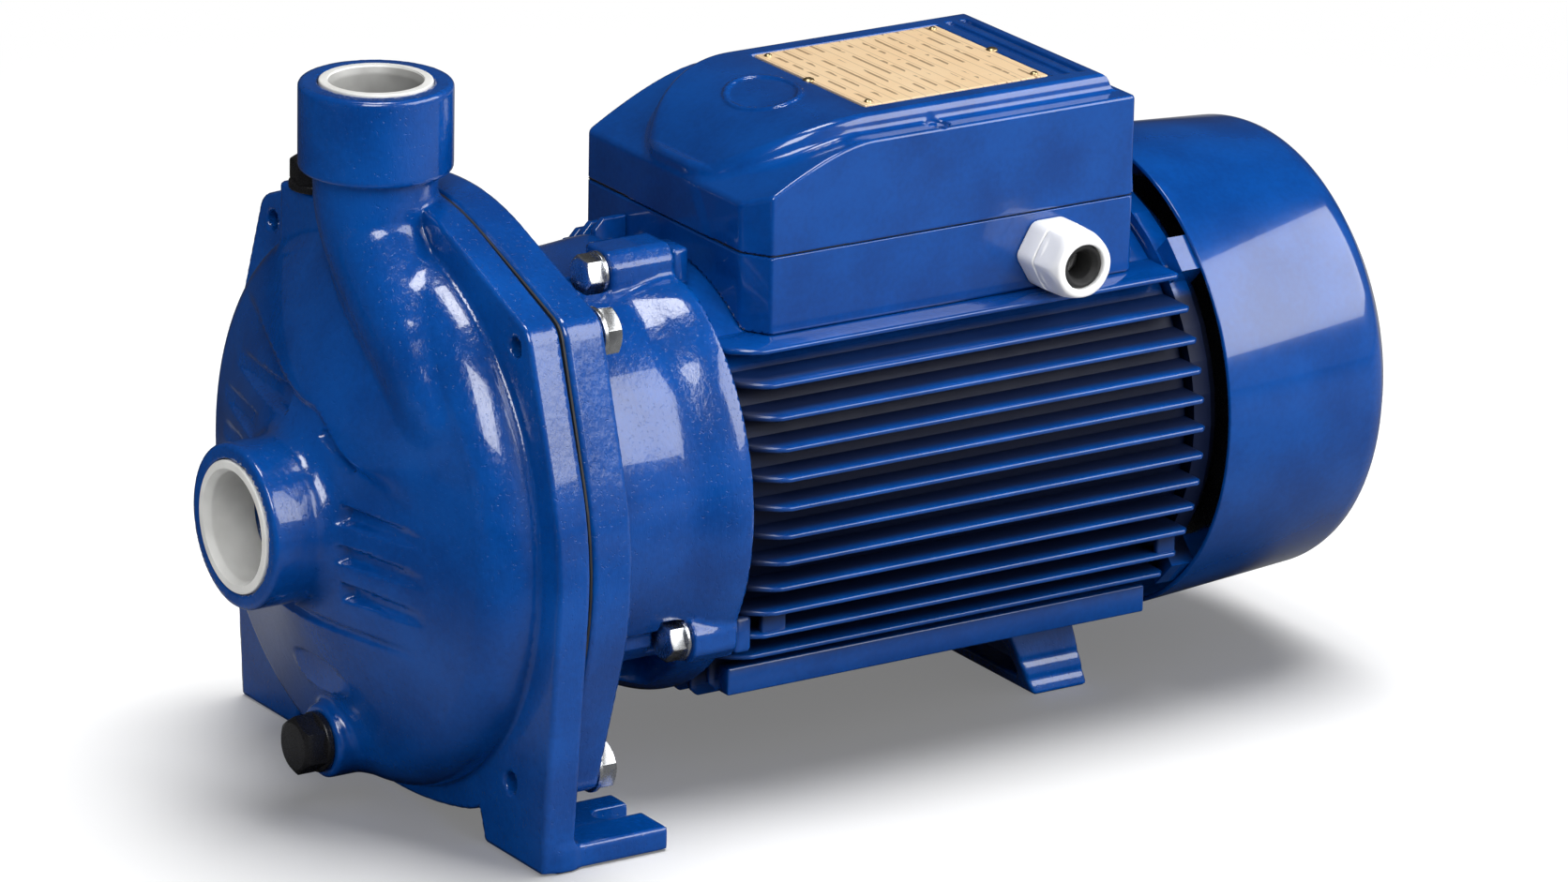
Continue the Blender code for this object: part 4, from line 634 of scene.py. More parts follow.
def pump_body(x, y, z):
    """The front casting: the solid forms first, then the slots, holes and waterways."""
    radius = np.hypot(x, z)
    side = np.abs(x)
    face = (dome_face(x, z) - y) * 0.9
    body = np.maximum(common(face, radius - SHELL_RADIUS, 12), y - FLANGE_BACK)
    collar = bar(x, z, y, 29.9, 0.6, 45, 1.8)
    plan = np.minimum(flange_plan(x, z, 115, False, FLOOR + 1.2), foot_plan(x, z, 115))
    flange = common(plan, between(y, FLANGE_FRONT, FLANGE_BACK), 1.6)
    throat = neck(x, y, z)
    priming = brick(x, y, z, (-52, 48.5, 40), (-8, 72, 106), 1.8)
    port_collar = bar(x, y - PORT_STATION, z, PORT_RADIUS, PORT_TOP - 31.6, PORT_TOP, 1.9)
    drain_boss = bar(x, z - DRAIN_HEIGHT, y, 13.5, 36, 70, 1.6)
    foot = brick(side, y, z, (FOOT_INNER, 70, FLOOR), (FOOT_OUTER, 116, FLOOR + 9), 1.5)
    for form, fillet in ((collar, 5), (flange, 1.6), (np.maximum(throat, y - FLANGE_BACK), 2.2),
                         (priming, 2.5), (port_collar, 0.8), (drain_boss, 3), (foot, 4)):
        body = blend(body, form, fillet)
    body = common(body, FLOOR - z, 0.8)
    slot = np.minimum(np.hypot(side - LUG_SIDE, y - ANCHOR_STATION) - 5,
                      np.maximum(np.abs(side - LUG_SIDE) - 5, ANCHOR_STATION - y))
    body = carve(body, np.maximum(slot, z - FLOOR - 16), 0.8)
    for height in (-LUG_HEIGHT, LUG_HEIGHT):
        body = carve(body, np.hypot(side - LUG_SIDE, z - height) - 3.7, 0.9)
    port = np.hypot(x, y - PORT_STATION)
    drain = np.hypot(x, z - DRAIN_HEIGHT)
    plug = np.hypot(x - PRIMING_SIDE, y - PRIMING_STATION)
    chamber = common(radius - 83, (dome_face(0, radius) + 8 - y) * 0.9, 6)
    for hollow in (np.maximum(chamber, -9), np.maximum(radius - SUCTION_BORE, y - 60),
                   np.maximum(radius - 24.3, y - 20.3), np.maximum(port - DISCHARGE_BORE, 116 - z),
                   throat + WALL, np.maximum(port - 20.45, 137.3 - z),
                   np.maximum(drain - 6.9, y - 48.6), np.maximum(plug - 6.7, 93.5 - z)):
        body = carve(body, hollow, 0.5)
    return body


BODY_CELL = 1.45
net("pump_body_casting", pump_body, (-118, 0, FLOOR), (118, 117, 156), BODY_CELL,
    cast_enamel, "cast_blue", "pump_body")

# %% [markdown]
# ## The motor bracket
# The second casting joins pump and motor. Its plate repeats the flange, its skirt is hollow
# around the shaft seal with an opening on each side, and lugs carry the bolts of the motor.
# The lugs follow the frame's bolts, wherever those sit.

# %% Bolt places
bracket_low, bracket_high = span("motor_bracket")
PLATE_FRONT, BRACKET_END = bracket_low[1], bracket_high[1]
PLATE_BACK = PLATE_FRONT + 16.4
HEAD_AND_WASHER = 8.1
SKIRT_RADIUS, CAVITY_RADIUS, HUB_RADIUS, SHAFT_HOLE = 79, 72, 30, 9.5
LUG_HALF, MOTOR_HOLE = 9.5, 4.3
OPENING_ANGLES = (radians(-56), radians(-124))


def head_middle(node):
    """The middle of a bolt's hexagon, which is the widest part of its solid."""
    low, high = span(node)
    return (low[0] + high[0]) / 2, (low[2] + high[2]) / 2


lug_places = {}
for node in ("motor_bolt_top", "motor_bolt_right", "motor_bolt_left"):
    lug_places[node] = (*head_middle(node), span(node)[0][1] + HEAD_AND_WASHER)
print("motor bolts", {k: [round(v, 1) for v in p] for k, p in lug_places.items()})


# %% [markdown]
# The skirt widens a little towards the motor, flat spots are milled for the bolt heads, and
# the openings lean down to each side, where a hand can reach the shaft.

# %% The whole bracket


def motor_bracket(x, y, z):
    """The plate, the skirt and the lugs, then the holes, the hollow and the openings."""
    radius = np.hypot(x, z)
    plan = flange_plan(x, z, 114, True, FLOOR + 2.4)
    body = common(plan, between(y, PLATE_FRONT, PLATE_BACK), 1.8)
    low_left = step((-x - 18) / 20) * (z > 0)
    skirt_radius = SKIRT_RADIUS + 6.5 * step((y - 138) / 22) * (1 - low_left)
    skirt = common(common(radius - skirt_radius, z - 76, 5),
                   between(y, PLATE_FRONT + 2, BRACKET_END), 1.2)
    body = blend(body, skirt, 6)
    for side, height, seat in lug_places.values():
        inward = 12 * np.sign(side) * (abs(side) > 40)
        lug = brick(x, y, z, (side - LUG_HALF - max(inward, 0), seat, height - LUG_HALF + 1),
                    (side + LUG_HALF - min(inward, 0), BRACKET_END, height + LUG_HALF - 1), 1.2)
        corner = np.sign(side) * (x - side) + np.abs(z - height)
        lug = common(lug, corner * 0.707 - 9.4, 1.0)
        body = blend(body, lug, 2)
        hole = np.hypot(x - side, z - height) - MOTOR_HOLE
        body = carve(body, hole, 0.4)
        body = carve(body, np.maximum(hole - 4.1, between(y, seat - 9, seat)), 0.6)
    cavity = common(radius - CAVITY_RADIUS, between(y, PLATE_BACK - 3, BRACKET_END - 9), 4)
    hub = np.maximum(radius - HUB_RADIUS, BRACKET_END - 23 - y)
    body = carve(body, carve(cavity, hub, 3), 1)
    for angle in OPENING_ANGLES:
        along = x * cos(angle) + z * sin(angle)
        across = -x * sin(angle) + z * cos(angle)
        opening = brick(along, y, across, (38, PLATE_BACK + 10, -15),
                        (100, BRACKET_END - 13.5, 15), 6)
        body = carve(body, opening, 1.5)
    for height in (-LUG_HEIGHT, LUG_HEIGHT):
        body = carve(body, np.hypot(np.abs(x) - LUG_SIDE, z - height) - MOTOR_HOLE, 0.4)
    return carve(body, radius - SHAFT_HOLE, 0.5)


net("motor_bracket_casting", motor_bracket, bracket_low, bracket_high, BODY_CELL * 1.15,
    cast_enamel, "cast_blue", "motor_bracket")

# %% [markdown]
# ## Turned pieces
# Rings, washers, the fan cover and the plugs are round, so each is a profile turned about an
# axis. Their edges are rounded in the profile itself, which costs a few points and needs no
# bevel afterwards.

# %% Turn a profile


def rounded(points, radius, steps=4, closed=False):
    """A line of points with its corners rounded."""
    points = [np.array(p, float) for p in points]
    result = []
    for i, p in enumerate(points):
        if not closed and i in (0, len(points) - 1):
            result.append(p)
            continue
        before, after = points[i - 1] - p, points[(i + 1) % len(points)] - p
        room = min(np.hypot(*before), np.hypot(*after)) * 0.45
        cut = min(radius, room)
        a = p + before / np.hypot(*before) * cut
        b = p + after / np.hypot(*after) * cut
        for t in np.arange(steps + 1) / steps:
            result.append(a * (1 - t) ** 2 + 2 * p * t * (1 - t) + b * t ** 2)
    return result


def lathe(profile, axis_point, direction, steps=96, closed=True):
    """A mesh from (radius, distance along the axis) points, turned around an axis."""
    turn = Vector(direction).normalized().to_track_quat("Z", "Y").to_matrix()
    form = bmesh.new()
    rings = []
    for radius, along in profile:
        ring = []
        for k in range(steps):
            angle = 2 * pi * k / steps
            local = Vector((radius * cos(angle), radius * sin(angle), along))
            ring.append(form.verts.new(spot(*(Vector(axis_point) + turn @ local))))
        rings.append(ring)
    pairs = list(zip(rings, rings[1:]))
    if closed:
        pairs.append((rings[-1], rings[0]))
    for a, b in pairs:
        for k in range(steps):
            form.faces.new((a[k], a[(k + 1) % steps], b[(k + 1) % steps], b[k]))
    bmesh.ops.remove_doubles(form, verts=form.verts, dist=1e-6)
    bmesh.ops.recalc_face_normals(form, faces=form.faces)
    mesh = mesh_of(form, "turned")
    mesh.shade_smooth()
    mesh.set_sharp_from_angle(angle=radians(42))
    return mesh


# %% [markdown]
# ## Port linings
# Each port has a pale lining with a pipe thread inside. The thread's ridges only show as soft
# rings, so they are turned as rings and not as a helix.

# %% The two linings
THREAD_PITCH = 2.31


def lining(node, outer, inner, axis_point, direction, length):
    """A threaded lining that starts at a point and runs inward."""
    ridges = []
    along = 2.2
    while along < length - THREAD_PITCH:
        ridges += [(inner + 0.35, along), (inner + 0.1, along + THREAD_PITCH * 0.5)]
        along += THREAD_PITCH
    profile = rounded([(outer, length), (outer, 0), (inner + 1.6, 0)], 0.7)
    profile += [(inner + 1.3, 0.6)] + ridges + [(inner, length)]
    piece = fit(node + "_lining", lathe(profile, axis_point, direction), port_white,
                "port_white", node)
    if node == "discharge_port_ring":
        # The faces inside the discharge bore get the darker grey: partly the thread's own colour,
        # partly painted shade of the deep bore.
        piece.data.materials.append(bore_grey_and_shade)
        for face in piece.data.polygons:
            away = (face.center - spot(*axis_point)) * 1000
            if abs(away.z) > 0.7 and hypot(away.x, away.y) < inner + 1.2:
                face.material_index = 1


low, high = span("suction_port_ring")
lining("suction_port_ring", (high[0] - low[0]) / 2, SUCTION_BORE, (0, 0, 0), (0, 1, 0),
       high[1] - low[1])
low, high = span("discharge_port_ring")
lining("discharge_port_ring", (high[0] - low[0]) / 2, DISCHARGE_BORE,
       (0, (low[1] + high[1]) / 2, high[2]), (0, 0, -1), high[2] - low[2])

# %% [markdown]
# ## Hexagon bolts and plugs
# A forged hexagon has its corners turned off at thirty degrees, which leaves the small curved
# facets that catch the light. That is the hexagon and a cone, cut where they meet.

# %% Make a hexagon head


def hexagon(across_flats, height, axis_point, direction, turn=0.0, crown=0.93, edge=0.25):
    """A hexagon head along a direction, with its outer corners turned off."""
    corner = across_flats / sqrt(3)
    slope = tan(radians(30))
    rim = across_flats / 2 * crown
    fall = (corner + 1 - rim) * slope
    cone = [(0, -1), (corner + 1, -1), (corner + 1, height - fall), (rim, height), (0, height)]
    prism = bmesh.new()
    bmesh.ops.create_cone(prism, cap_ends=True, segments=6, radius1=corner / 1000,
                          radius2=corner / 1000, depth=height / 1000,
                          matrix=Matrix.Rotation(turn, 4, "Z")
                          @ Matrix.Translation((0, 0, height / 2000)))
    solid = add_object("hexagon", mesh_of(prism, "hexagon"))
    limit = add_object("cone", lathe(cone, (0, 0, 0), (0, 0, 1), 72, False))
    limit.location = -spot(0, 0, 0)
    trim = solid.modifiers.new("trim", "BOOLEAN")
    trim.operation = "INTERSECT"
    trim.object = limit
    round_edges(solid, edge, 2, 20)
    result = applied(solid)
    bpy.data.objects.remove(limit)
    facing = Vector(direction).normalized().to_track_quat("Z", "Y").to_matrix().to_4x4()
    result.transform(Matrix.Translation(spot(*axis_point)) @ facing)
    result.shade_smooth()
    result.set_sharp_from_angle(angle=radians(25))
    return result


def together(*meshes):
    """Several meshes as one."""
    form = bmesh.new()
    for mesh in meshes:
        form.from_mesh(mesh)
    whole = mesh_of(form, "whole")
    whole.set_sharp_from_angle(angle=radians(30))
    return whole


# %% [markdown]
# A bolt here is a head, a washer and enough shank to fill its hole. Four hold the pump body
# from behind the bracket's plate, three face forward and hold the motor.

# %% All the bolts


def bolt(node, seat, direction, across_flats, length, turn):
    """A hexagon bolt with its washer, seated at a point and facing a direction."""
    way = Vector(direction)
    washer = rounded([(4.3, 0), (across_flats / 2 + 1.4, 0), (across_flats / 2 + 1.4, 1.6),
                      (4.3, 1.6)], 0.3, closed=True)
    head = hexagon(across_flats, 6.5, Vector(seat) + way * 1.6, way, turn)
    shank = rounded([(0.01, -length), (4, -length), (4, 2), (0.01, 2)], 0.8)
    mesh = together(head, lathe(washer, seat, way), lathe(shank, seat, way, 32))
    fit(node + "_zinc", mesh, zinc, "zinc_steel", node)


for hand in ("right", "left"):
    for level in ("upper", "lower"):
        node = f"body_bolt_{level}_{hand}"
        bolt_side, bolt_height = head_middle(node)
        bolt(node, (bolt_side, PLATE_BACK + 0.3, bolt_height), (0, 1, 0), 16, 25.4, 0.2)
for node, (bolt_side, bolt_height, seat) in lug_places.items():
    bolt(node, (bolt_side, seat, bolt_height), (0, -1, 0), 13, span(node)[1][1] - seat, 0.35)

# %% [markdown]
# The plugs close the holes for filling and draining. They are moulded in black plastic, with
# a wide round collar that presses on its seal and a hexagon for the wrench.

# %% The two plugs


def plug(node, seat, direction, turn):
    """A black plug: a round collar with a sealing edge and a hexagon."""
    way = Vector(direction)
    collar = rounded([(0.01, -12), (6.4, -12), (6.4, -0.1), (11, -0.1), (11, 2.4), (9.4, 2.9),
                      (0.01, 2.9)], 0.5)
    head = hexagon(19, 8.4, Vector(seat) + way * 2.5, way, turn, 0.9, 0.5)
    mesh = together(head, lathe(collar, seat, way, 64))
    fit(node + "_moulding", mesh, black_plastic, "black_plastic", node)


PLUG_DEPTH = 12
place = centre("drain_plug")
plug("drain_plug", (0, span("drain_plug")[1][1] - PLUG_DEPTH, place[2]), (0, -1, 0), 0.1)
place = centre("priming_plug")
plug("priming_plug", (place[0], place[1], span("priming_plug")[0][2] + PLUG_DEPTH), (0, 0, 1),
     0.3)

# %% [markdown]
# ## The motor housing
# An aluminium or iron frame with flat fins to the sides and upright ones below. The fins end
# in a slope at the front and are thinner at the tip than at the root, as a mould needs it.
# They are many and alike, so one routine makes a fin and a loop gives its places.

# %% Plates with rounded edges
HOUSING_FRONT = span("motor_housing")[0][1]
FINS_FRONT, FINS_END = 165, 356
CORE_RADIUS, FIN_RADIUS = 74, 88


def plate(form, outline, low, high, axes, thin=None):
    """Add a flat piece to a form: an outline in two axes between two levels of the third.

    With thin, its tip side is narrower: (axis, from, to, share) shrinks the thickness.
    """
    third = 3 - axes[0] - axes[1]
    middle = (low + high) / 2
    loops = []
    for level in (low, high):
        loop = []
        for point in outline:
            place = [0.0, 0.0, 0.0]
            place[axes[0]], place[axes[1]] = point
            share = 1.0
            if thin:
                k, start, end, least = thin
                share = np.interp(abs(place[k]), (start, end), (1, least))
            place[third] = middle + (level - middle) * share
            loop.append(form.verts.new(spot(*place)))
        loops.append(loop)
    form.faces.new(loops[0])
    form.faces.new(list(reversed(loops[1])))
    count = len(outline)
    for i in range(count):
        j = (i + 1) % count
        form.faces.new((loops[0][i], loops[1][i], loops[1][j], loops[0][j]))


def block(form, low, high):
    """Add a block between two corners to a form."""
    plate(form, [(low[0], low[1]), (high[0], low[1]), (high[0], high[1]), (low[0], high[1])],
          low[2], high[2], (0, 1))


def softened(form, name, width, segments=3):
    """The mesh of a form, with its sharp edges rounded."""
    bmesh.ops.recalc_face_normals(form, faces=form.faces)
    raw = add_object(name, mesh_of(form, name))
    raw.data.shade_smooth()
    round_edges(raw, width, segments, 35).harden_normals = True
    return applied(raw)


# %% [markdown]
# The housing itself: side fins, upright fins, a rail below on each side, the ledge above it,
# and the saddle that carries the terminal box. One rounding at the end covers them all.

# %% The finned housing
FIN_TOP, FIN_PITCH, FIN_THICKNESS = 55.3, 10.5, 2.8
form = bmesh.new()
for side in (-1, 1):
    for i in range(12):
        height = FIN_TOP - i * FIN_PITCH
        tip = sqrt(FIN_RADIUS ** 2 - height ** 2)
        outline = [(40, FINS_FRONT), (tip - 11, FINS_FRONT), (tip - 7, FINS_FRONT + 1.5),
                   (tip - 1.5, FINS_FRONT + 8), (tip, FINS_FRONT + 12), (tip, FINS_END - 2),
                   (tip - 2, FINS_END), (40, FINS_END)]
        plate(form, [(side * a, b) for a, b in outline], height - FIN_THICKNESS / 2,
              height + FIN_THICKNESS / 2, (0, 1), (0, tip - 14, tip, 0.7))
    for i in range(5):
        x = side * (i + 0.5) * 10
        drop = min(84, sqrt(90 ** 2 - x ** 2))
        front = FINS_FRONT + 1.2 * i
        plate(form, [(front, -50), (front, -drop + 3), (front + 3, -drop),
                     (FINS_END - 2, -drop), (FINS_END, -50)], x - 1.3, x + 1.3, (1, 2))
    upper, lower = FIN_TOP - 9 * FIN_PITCH, FIN_TOP - 10 * FIN_PITCH
    reach = sqrt(FIN_RADIUS ** 2 - lower ** 2) - 1.2
    for near, away, front, end, bottom, top in (
            (49, 55.6, FINS_FRONT + 7, FINS_END - 3, -77, -66.5),
            (30, 52, FINS_FRONT + 9, FINS_END - 4, -72, -68.5),
            (reach - 3, reach, FINS_FRONT + 11, FINS_FRONT + 21, lower, upper),
            (reach - 3, reach, FINS_END - 9, FINS_END - 1, lower, upper)):
        inner, outer = sorted((side * near, side * away))
        block(form, (inner, front, bottom), (outer, end, top))
for i in range(4):
    x = -30 - 8.3 * i
    top = sqrt(85 ** 2 - x ** 2)
    plate(form, [(168, 44), (165.3, top - 9), (165.8, top - 4), (169.5, top), (179.3, top),
                 (179.3, 44)], x - 1.6, x + 1.6, (1, 2))
box_low, box_high = span("terminal_box_base")
block(form, (-55, box_low[1] + 3, 40), (55, box_high[1] - 3, box_low[2] - 0.4))
fins = softened(form, "fins", 0.8)
core = lathe(rounded([(8.3, HOUSING_FRONT), (CORE_RADIUS, HOUSING_FRONT), (CORE_RADIUS, FINS_END),
                      (8.3, FINS_END)], 1.0, closed=True), (0, 0, 0), (0, 1, 0), 144)
form = bmesh.new()
for bolt_side, bolt_height, _ in lug_places.values():
    block(form, (bolt_side - 7, HOUSING_FRONT, bolt_height - 7.5),
          (bolt_side + 7, HOUSING_FRONT + 7, bolt_height + 6))
pads = softened(form, "pads", 1.6)
housing = together(fins, core, pads)
fit("motor_housing_casting", housing, fin_enamel_painted_shade, "cast_blue", "motor_housing")

# %% [markdown]
# ## The rear foot
# Two splayed legs on a sole, with a web between them: again a casting, so again a field.

# %% The foot under the fan end
foot_low, foot_high = span("rear_foot")
FOOT_WEB, FOOT_WALL, FOOT_CELL = 327.5, 6.5, 1.0


def rear_foot(x, y, z):
    """Leaning legs on a sole, rippled outside and hollow front and rear of a web."""
    side = np.abs(x)
    rise = np.clip((z - foot_low[2]) / (foot_high[2] - foot_low[2]), 0, 1)
    ripples = sum(0.6 * np.exp(-((z - foot_low[2] - up) / 1.5) ** 2) for up in (5.5, 12.5))
    outer = (side - 40 + 6 * rise + ripples) * 0.97
    front, rear = 316 - 8 * rise, 340 - 3.5 * rise
    whole = common(outer, between(z, foot_low[2], foot_high[2]), 1.2)
    whole = common(whole, between(y, front, rear), 1.5)
    hollow = common(outer + FOOT_WALL, between(z, foot_low[2] + 5, foot_high[2] - 6), 2.5)
    hollow = np.maximum(hollow, 3 - np.abs(y - FOOT_WEB))
    return carve(whole, hollow, 1.2)


net("rear_foot_casting", rear_foot, foot_low, foot_high, FOOT_CELL, cast_enamel, "cast_blue",
    "rear_foot")

# %% [markdown]
# ## The fan cover
# Drawn sheet: a tapered shell, a small crease near its rear edge, and a slotted back through
# which the fan draws air. The sheet is drawn as a polar grid; the slots are the faces that are
# left out, and Solidify gives the sheet its thickness.

# %% The cover
COVER_FRONT, COVER_END = span("fan_cover")[0][1], span("fan_cover")[1][1]
COVER_STEPS = 180
SLOT_RINGS = [(24, 36), (45, 57)]
SHEET = 1.8


def cover_profile():
    """The sheet's line from its front edge over the crease to the middle of the back."""
    outer = rounded([(89.3, COVER_FRONT + 0.4), (84.8, COVER_END - 14), (82.6, COVER_END - 9),
                     (71, COVER_END), (62, COVER_END)], 3.5, 6)
    inner = [(r, COVER_END) for r in (57, 51, 45, 36, 30, 24, 12)]
    return outer + inner


form = bmesh.new()
turns = [2 * pi * k / COVER_STEPS for k in range(COVER_STEPS)]
rings = [[form.verts.new(spot(radius * cos(turn), along, radius * sin(turn)))
          for turn in turns] for radius, along in cover_profile()]
radii = [radius for radius, _ in cover_profile()]
per_slot = COVER_STEPS // 6
for i, (a, b) in enumerate(zip(rings, rings[1:])):
    slotted = any(low <= radii[i + 1] + 0.01 and radii[i] <= high + 0.01
                  for low, high in SLOT_RINGS)
    for k in range(COVER_STEPS):
        bar_half = 2 if radii[i] > 40 else 3
        within = bar_half <= k % per_slot < per_slot - bar_half
        if not (slotted and within):
            form.faces.new((a[k], a[(k + 1) % COVER_STEPS], b[(k + 1) % COVER_STEPS], b[k]))
form.faces.new(rings[-1])
bmesh.ops.recalc_face_normals(form, faces=form.faces)
mesh = mesh_of(form, "cover")
mesh.shade_smooth()
cover = fit("fan_cover_sheet", mesh, sheet_enamel, "sheet_blue", "fan_cover")
sheet = cover.modifiers.new("sheet", "SOLIDIFY")
sheet.thickness = SHEET / 1000
sheet.offset = -1
round_edges(cover, 0.5, 2, 50)

# %% [markdown]
# ## The terminal box
# A smooth box with one cut corner towards the front, a lid whose front slopes up over a
# shelf, and a raised plateau with a round nose. The lid is a field too, drawn finer: its
# slopes cross its walls at changing angles, and each crossing has to stay softly rounded.

# %% The lid
SEAM_TOP = span("terminal_box_lid")[0][2]
BOX_FRONT, BOX_END = box_low[1], box_high[1]
BOX_SIDE = box_high[0]
LID_TOP = 129
NOSE_START, NOSE_RADIUS = 184, 46
CUT_CORNER = (10.9, 6.9)
PLATE_RECESS = ((-37.5, 237), (37.5, 317.5))
SCREW_SIDE, SCREW_STATION = 51.5, 259
RING_STATION, RING_RADIUS, RING_SQUASH = 218, 16.5, 0.72


def curve_rise(start, bend, end):
    """A smooth rise from a start to an end, drawn towards a bend, as a table."""
    t = np.linspace(0, 1, 24)[:, None]
    start, bend, end = (np.array(p, float) for p in (start, bend, end))
    points = start * (1 - t) ** 2 + 2 * bend * t * (1 - t) + end * t ** 2
    return points[:, 0], points[:, 1]


print("lid from", round(SEAM_TOP, 1), "to", LID_TOP, "mm above the shaft")
SHELF = curve_rise((BOX_FRONT, 104), (212, 123), (229, 123))
NOSE = curve_rise((NOSE_START, 110), (206, LID_TOP), (233, LID_TOP))


def box_plan(x, y):
    """The plan of the box: a rectangle with one cut corner, front right."""
    plan = common(np.abs(x) - BOX_SIDE, between(y, BOX_FRONT, BOX_END), 2.0)
    across, along = CUT_CORNER
    corner = ((x - BOX_SIDE + across) * along - (y - BOX_FRONT) * across) / hypot(across, along)
    return common(plan, corner, 0.7)


def lid(x, y, z):
    """The sloped shelf, the plateau with its round nose, the plain ring and the recesses."""
    plan = box_plan(x, y)
    shelf = (z - np.interp(y, *SHELF)) * 0.9
    whole = common(plan, shelf, 1.3)
    round_nose = np.hypot(x, y - NOSE_START - NOSE_RADIUS) - NOSE_RADIUS
    runway = np.maximum(np.abs(x) - NOSE_RADIUS, NOSE_START + NOSE_RADIUS - y)
    plateau = np.maximum(np.minimum(round_nose, runway), y - 336)
    draft = common(plateau - 0.25 * (LID_TOP - z), plan, 1.0)
    top = (z - np.interp(y, *NOSE)) * 0.85
    whole = blend(whole, common(draft, top, 2.2), 1.6)
    pad = np.hypot(x, (y - RING_STATION) / RING_SQUASH)
    whole = np.minimum(whole, np.maximum((pad - RING_RADIUS - 0.5) * 0.8, top))
    rim = common(np.abs(pad - RING_RADIUS) - 1.2, top - 0.7, 0.5)
    whole = blend(whole, rim, 0.6)
    recess = brick(x, y, z, (*PLATE_RECESS[0], LID_TOP - 1.2), (*PLATE_RECESS[1], LID_TOP + 9),
                   0.3)
    whole = carve(whole, recess, 0.4)
    for start in (322, 328.5):
        groove = brick(x, y, z, (-38, start, LID_TOP - 1.5), (38, start + 2.6, LID_TOP + 9), 0.3)
        whole = carve(whole, groove, 0.5)
    hole = np.hypot(np.abs(x) - SCREW_SIDE, y - SCREW_STATION)
    whole = carve(whole, np.maximum(hole - 3.1, 115 - z), 0.4)
    whole = carve(whole, np.maximum(hole - 4.4, 121.6 - z), 0.5)
    return common(whole, SEAM_TOP - 0.25 - z, 0.25)


LID_CELL = 1.0
net("terminal_box_lid_casting", lid, (-BOX_SIDE, BOX_FRONT, SEAM_TOP),
    (BOX_SIDE, BOX_END, LID_TOP + 1), LID_CELL, box_enamel, "box_blue", "terminal_box_lid")


# %% [markdown]
# The base has the lid's plan, a hollow underside that sits on the round core, and a hole in
# its side for the gland. Sharing the lid's plan keeps the seam between them even.

# %% The base of the box


def box_base(x, y, z):
    """The plan of the box above the round core, with the gland's hole."""
    base = common(box_plan(x, y), between(z, box_low[2], box_high[2] + 0.15), 0.25)
    base = carve(base, np.hypot(x, z) - CORE_RADIUS - 0.3, 0.3)
    gland = np.hypot(y - centre("gland_body")[1], z - centre("gland_body")[2])
    return carve(base, np.maximum(gland - 8.3, 44 - x), 0.4)


net("terminal_box_base_casting", box_base, box_low, box_high, LID_CELL, box_enamel,
    "box_blue", "terminal_box_base")

# %% [markdown]
# ## The nameplate
# A thin brass-coloured sheet, held by small screws. Ruled rows and plain bars make it a data
# plate, and both are reckoned from the place on the sheet, so no picture is needed.

# %% Brass sheet with ruled rows
plate_low, plate_high = span("nameplate")
ROW_PITCH = 6.2
ruled = Finish("ruled_plate", (0.80, 0.56, 0.30), 0.3, 0.25)
row = ruled.start.reckon("FRACT", ruled.part("Y") / ROW_PITCH)
line = 1 - row.reckon("ABSOLUTE", row - 0.5).over(0.035, 0.02)
lengths = ruled.noise(1000 / 260, 0.0, 0.5, (1.0, 0.05, 1.0))
starts = ruled.noise(1000 / 130, 0.0, 0.5, (0.6, 3.0, 1.0))
bars = row.reckon("ABSOLUTE", row - 0.2).over(0.1, 0.02)
bars = (1 - bars) * (lengths * 0.5 + starts * 0.5).over(0.52, 0.02)
ink = row.reckon("MAXIMUM", line * 0.35, bars * 0.7)
warm = ruled.tint(ruled.noise(30, 2.0), (0.95, 0.66, 0.38), (0.99, 0.77, 0.50))
ruled.set("Base Color", ink.mix(warm, (0.20, 0.11, 0.05, 1.0)))
ruled.set("Roughness", 0.28 + 0.2 * ruled.noise(3.0))
ruled.set("Normal", ruled.relief(ruled.noise(0.9, 2.0), 0.012))
form = bmesh.new()
block(form, plate_low, plate_high)
fit("nameplate_sheet", softened(form, "sheet", 0.15, 2), ruled.material, "brass", "nameplate")

# %% [markdown]
# Small round-headed screws hold the sheet, and two recessed ones the lid. They are turned
# profiles, since a slot would be smaller than a pixel.

# %% The screws of the nameplate
dots = []
for side, station, radius in ((-33, 241.5, 1.5), (33, 241.5, 1.5), (-33, 313, 1.5),
                              (33, 313, 1.5), (0, 237.6, 2.2), (0, 316.9, 2.2)):
    profile = rounded([(0.01, -1), (radius, -1), (radius, 0.3), (radius * 0.6, 0.9),
                       (0.01, 1.1)], 0.4)
    dots.append(lathe(profile, (side, station, plate_high[2]), (0, 0, 1), 24))
fit("nameplate_screws", together(*dots), metal("screw_brass", (0.70, 0.55, 0.30),
                                              (0.40, 0.30, 0.16), 0.3, 0.6), "brass")

# %% The two screws of the lid
for node in ("lid_screw_right", "lid_screw_left"):
    place = centre(node)
    profile = rounded([(0.01, 0), (2.6, 0), (2.6, 4.2), (1.9, 5.0), (1.2, 5.0), (1.0, 4.0),
                       (0.01, 4.0)], 0.3)
    fit(node + "_zinc", lathe(profile, (place[0], place[1], span(node)[0][2]), (0, 0, 1), 40),
        zinc, "zinc_steel", node)

# %% [markdown]
# ## The cable gland
# White nylon: a hexagon against the box, a domed nut with six flats that run out in the dome,
# and a dark rubber seal around the hole for the cable.

# %% Gland body, nut and seal
GLAND_STATION, GLAND_HEIGHT = centre("gland_nut")[1:]
nut_low, nut_high = span("gland_nut")
body_low, body_high = span("gland_body")
FLATS, GLAND_MARGIN, GLAND_CELL = 24, 14, 0.55


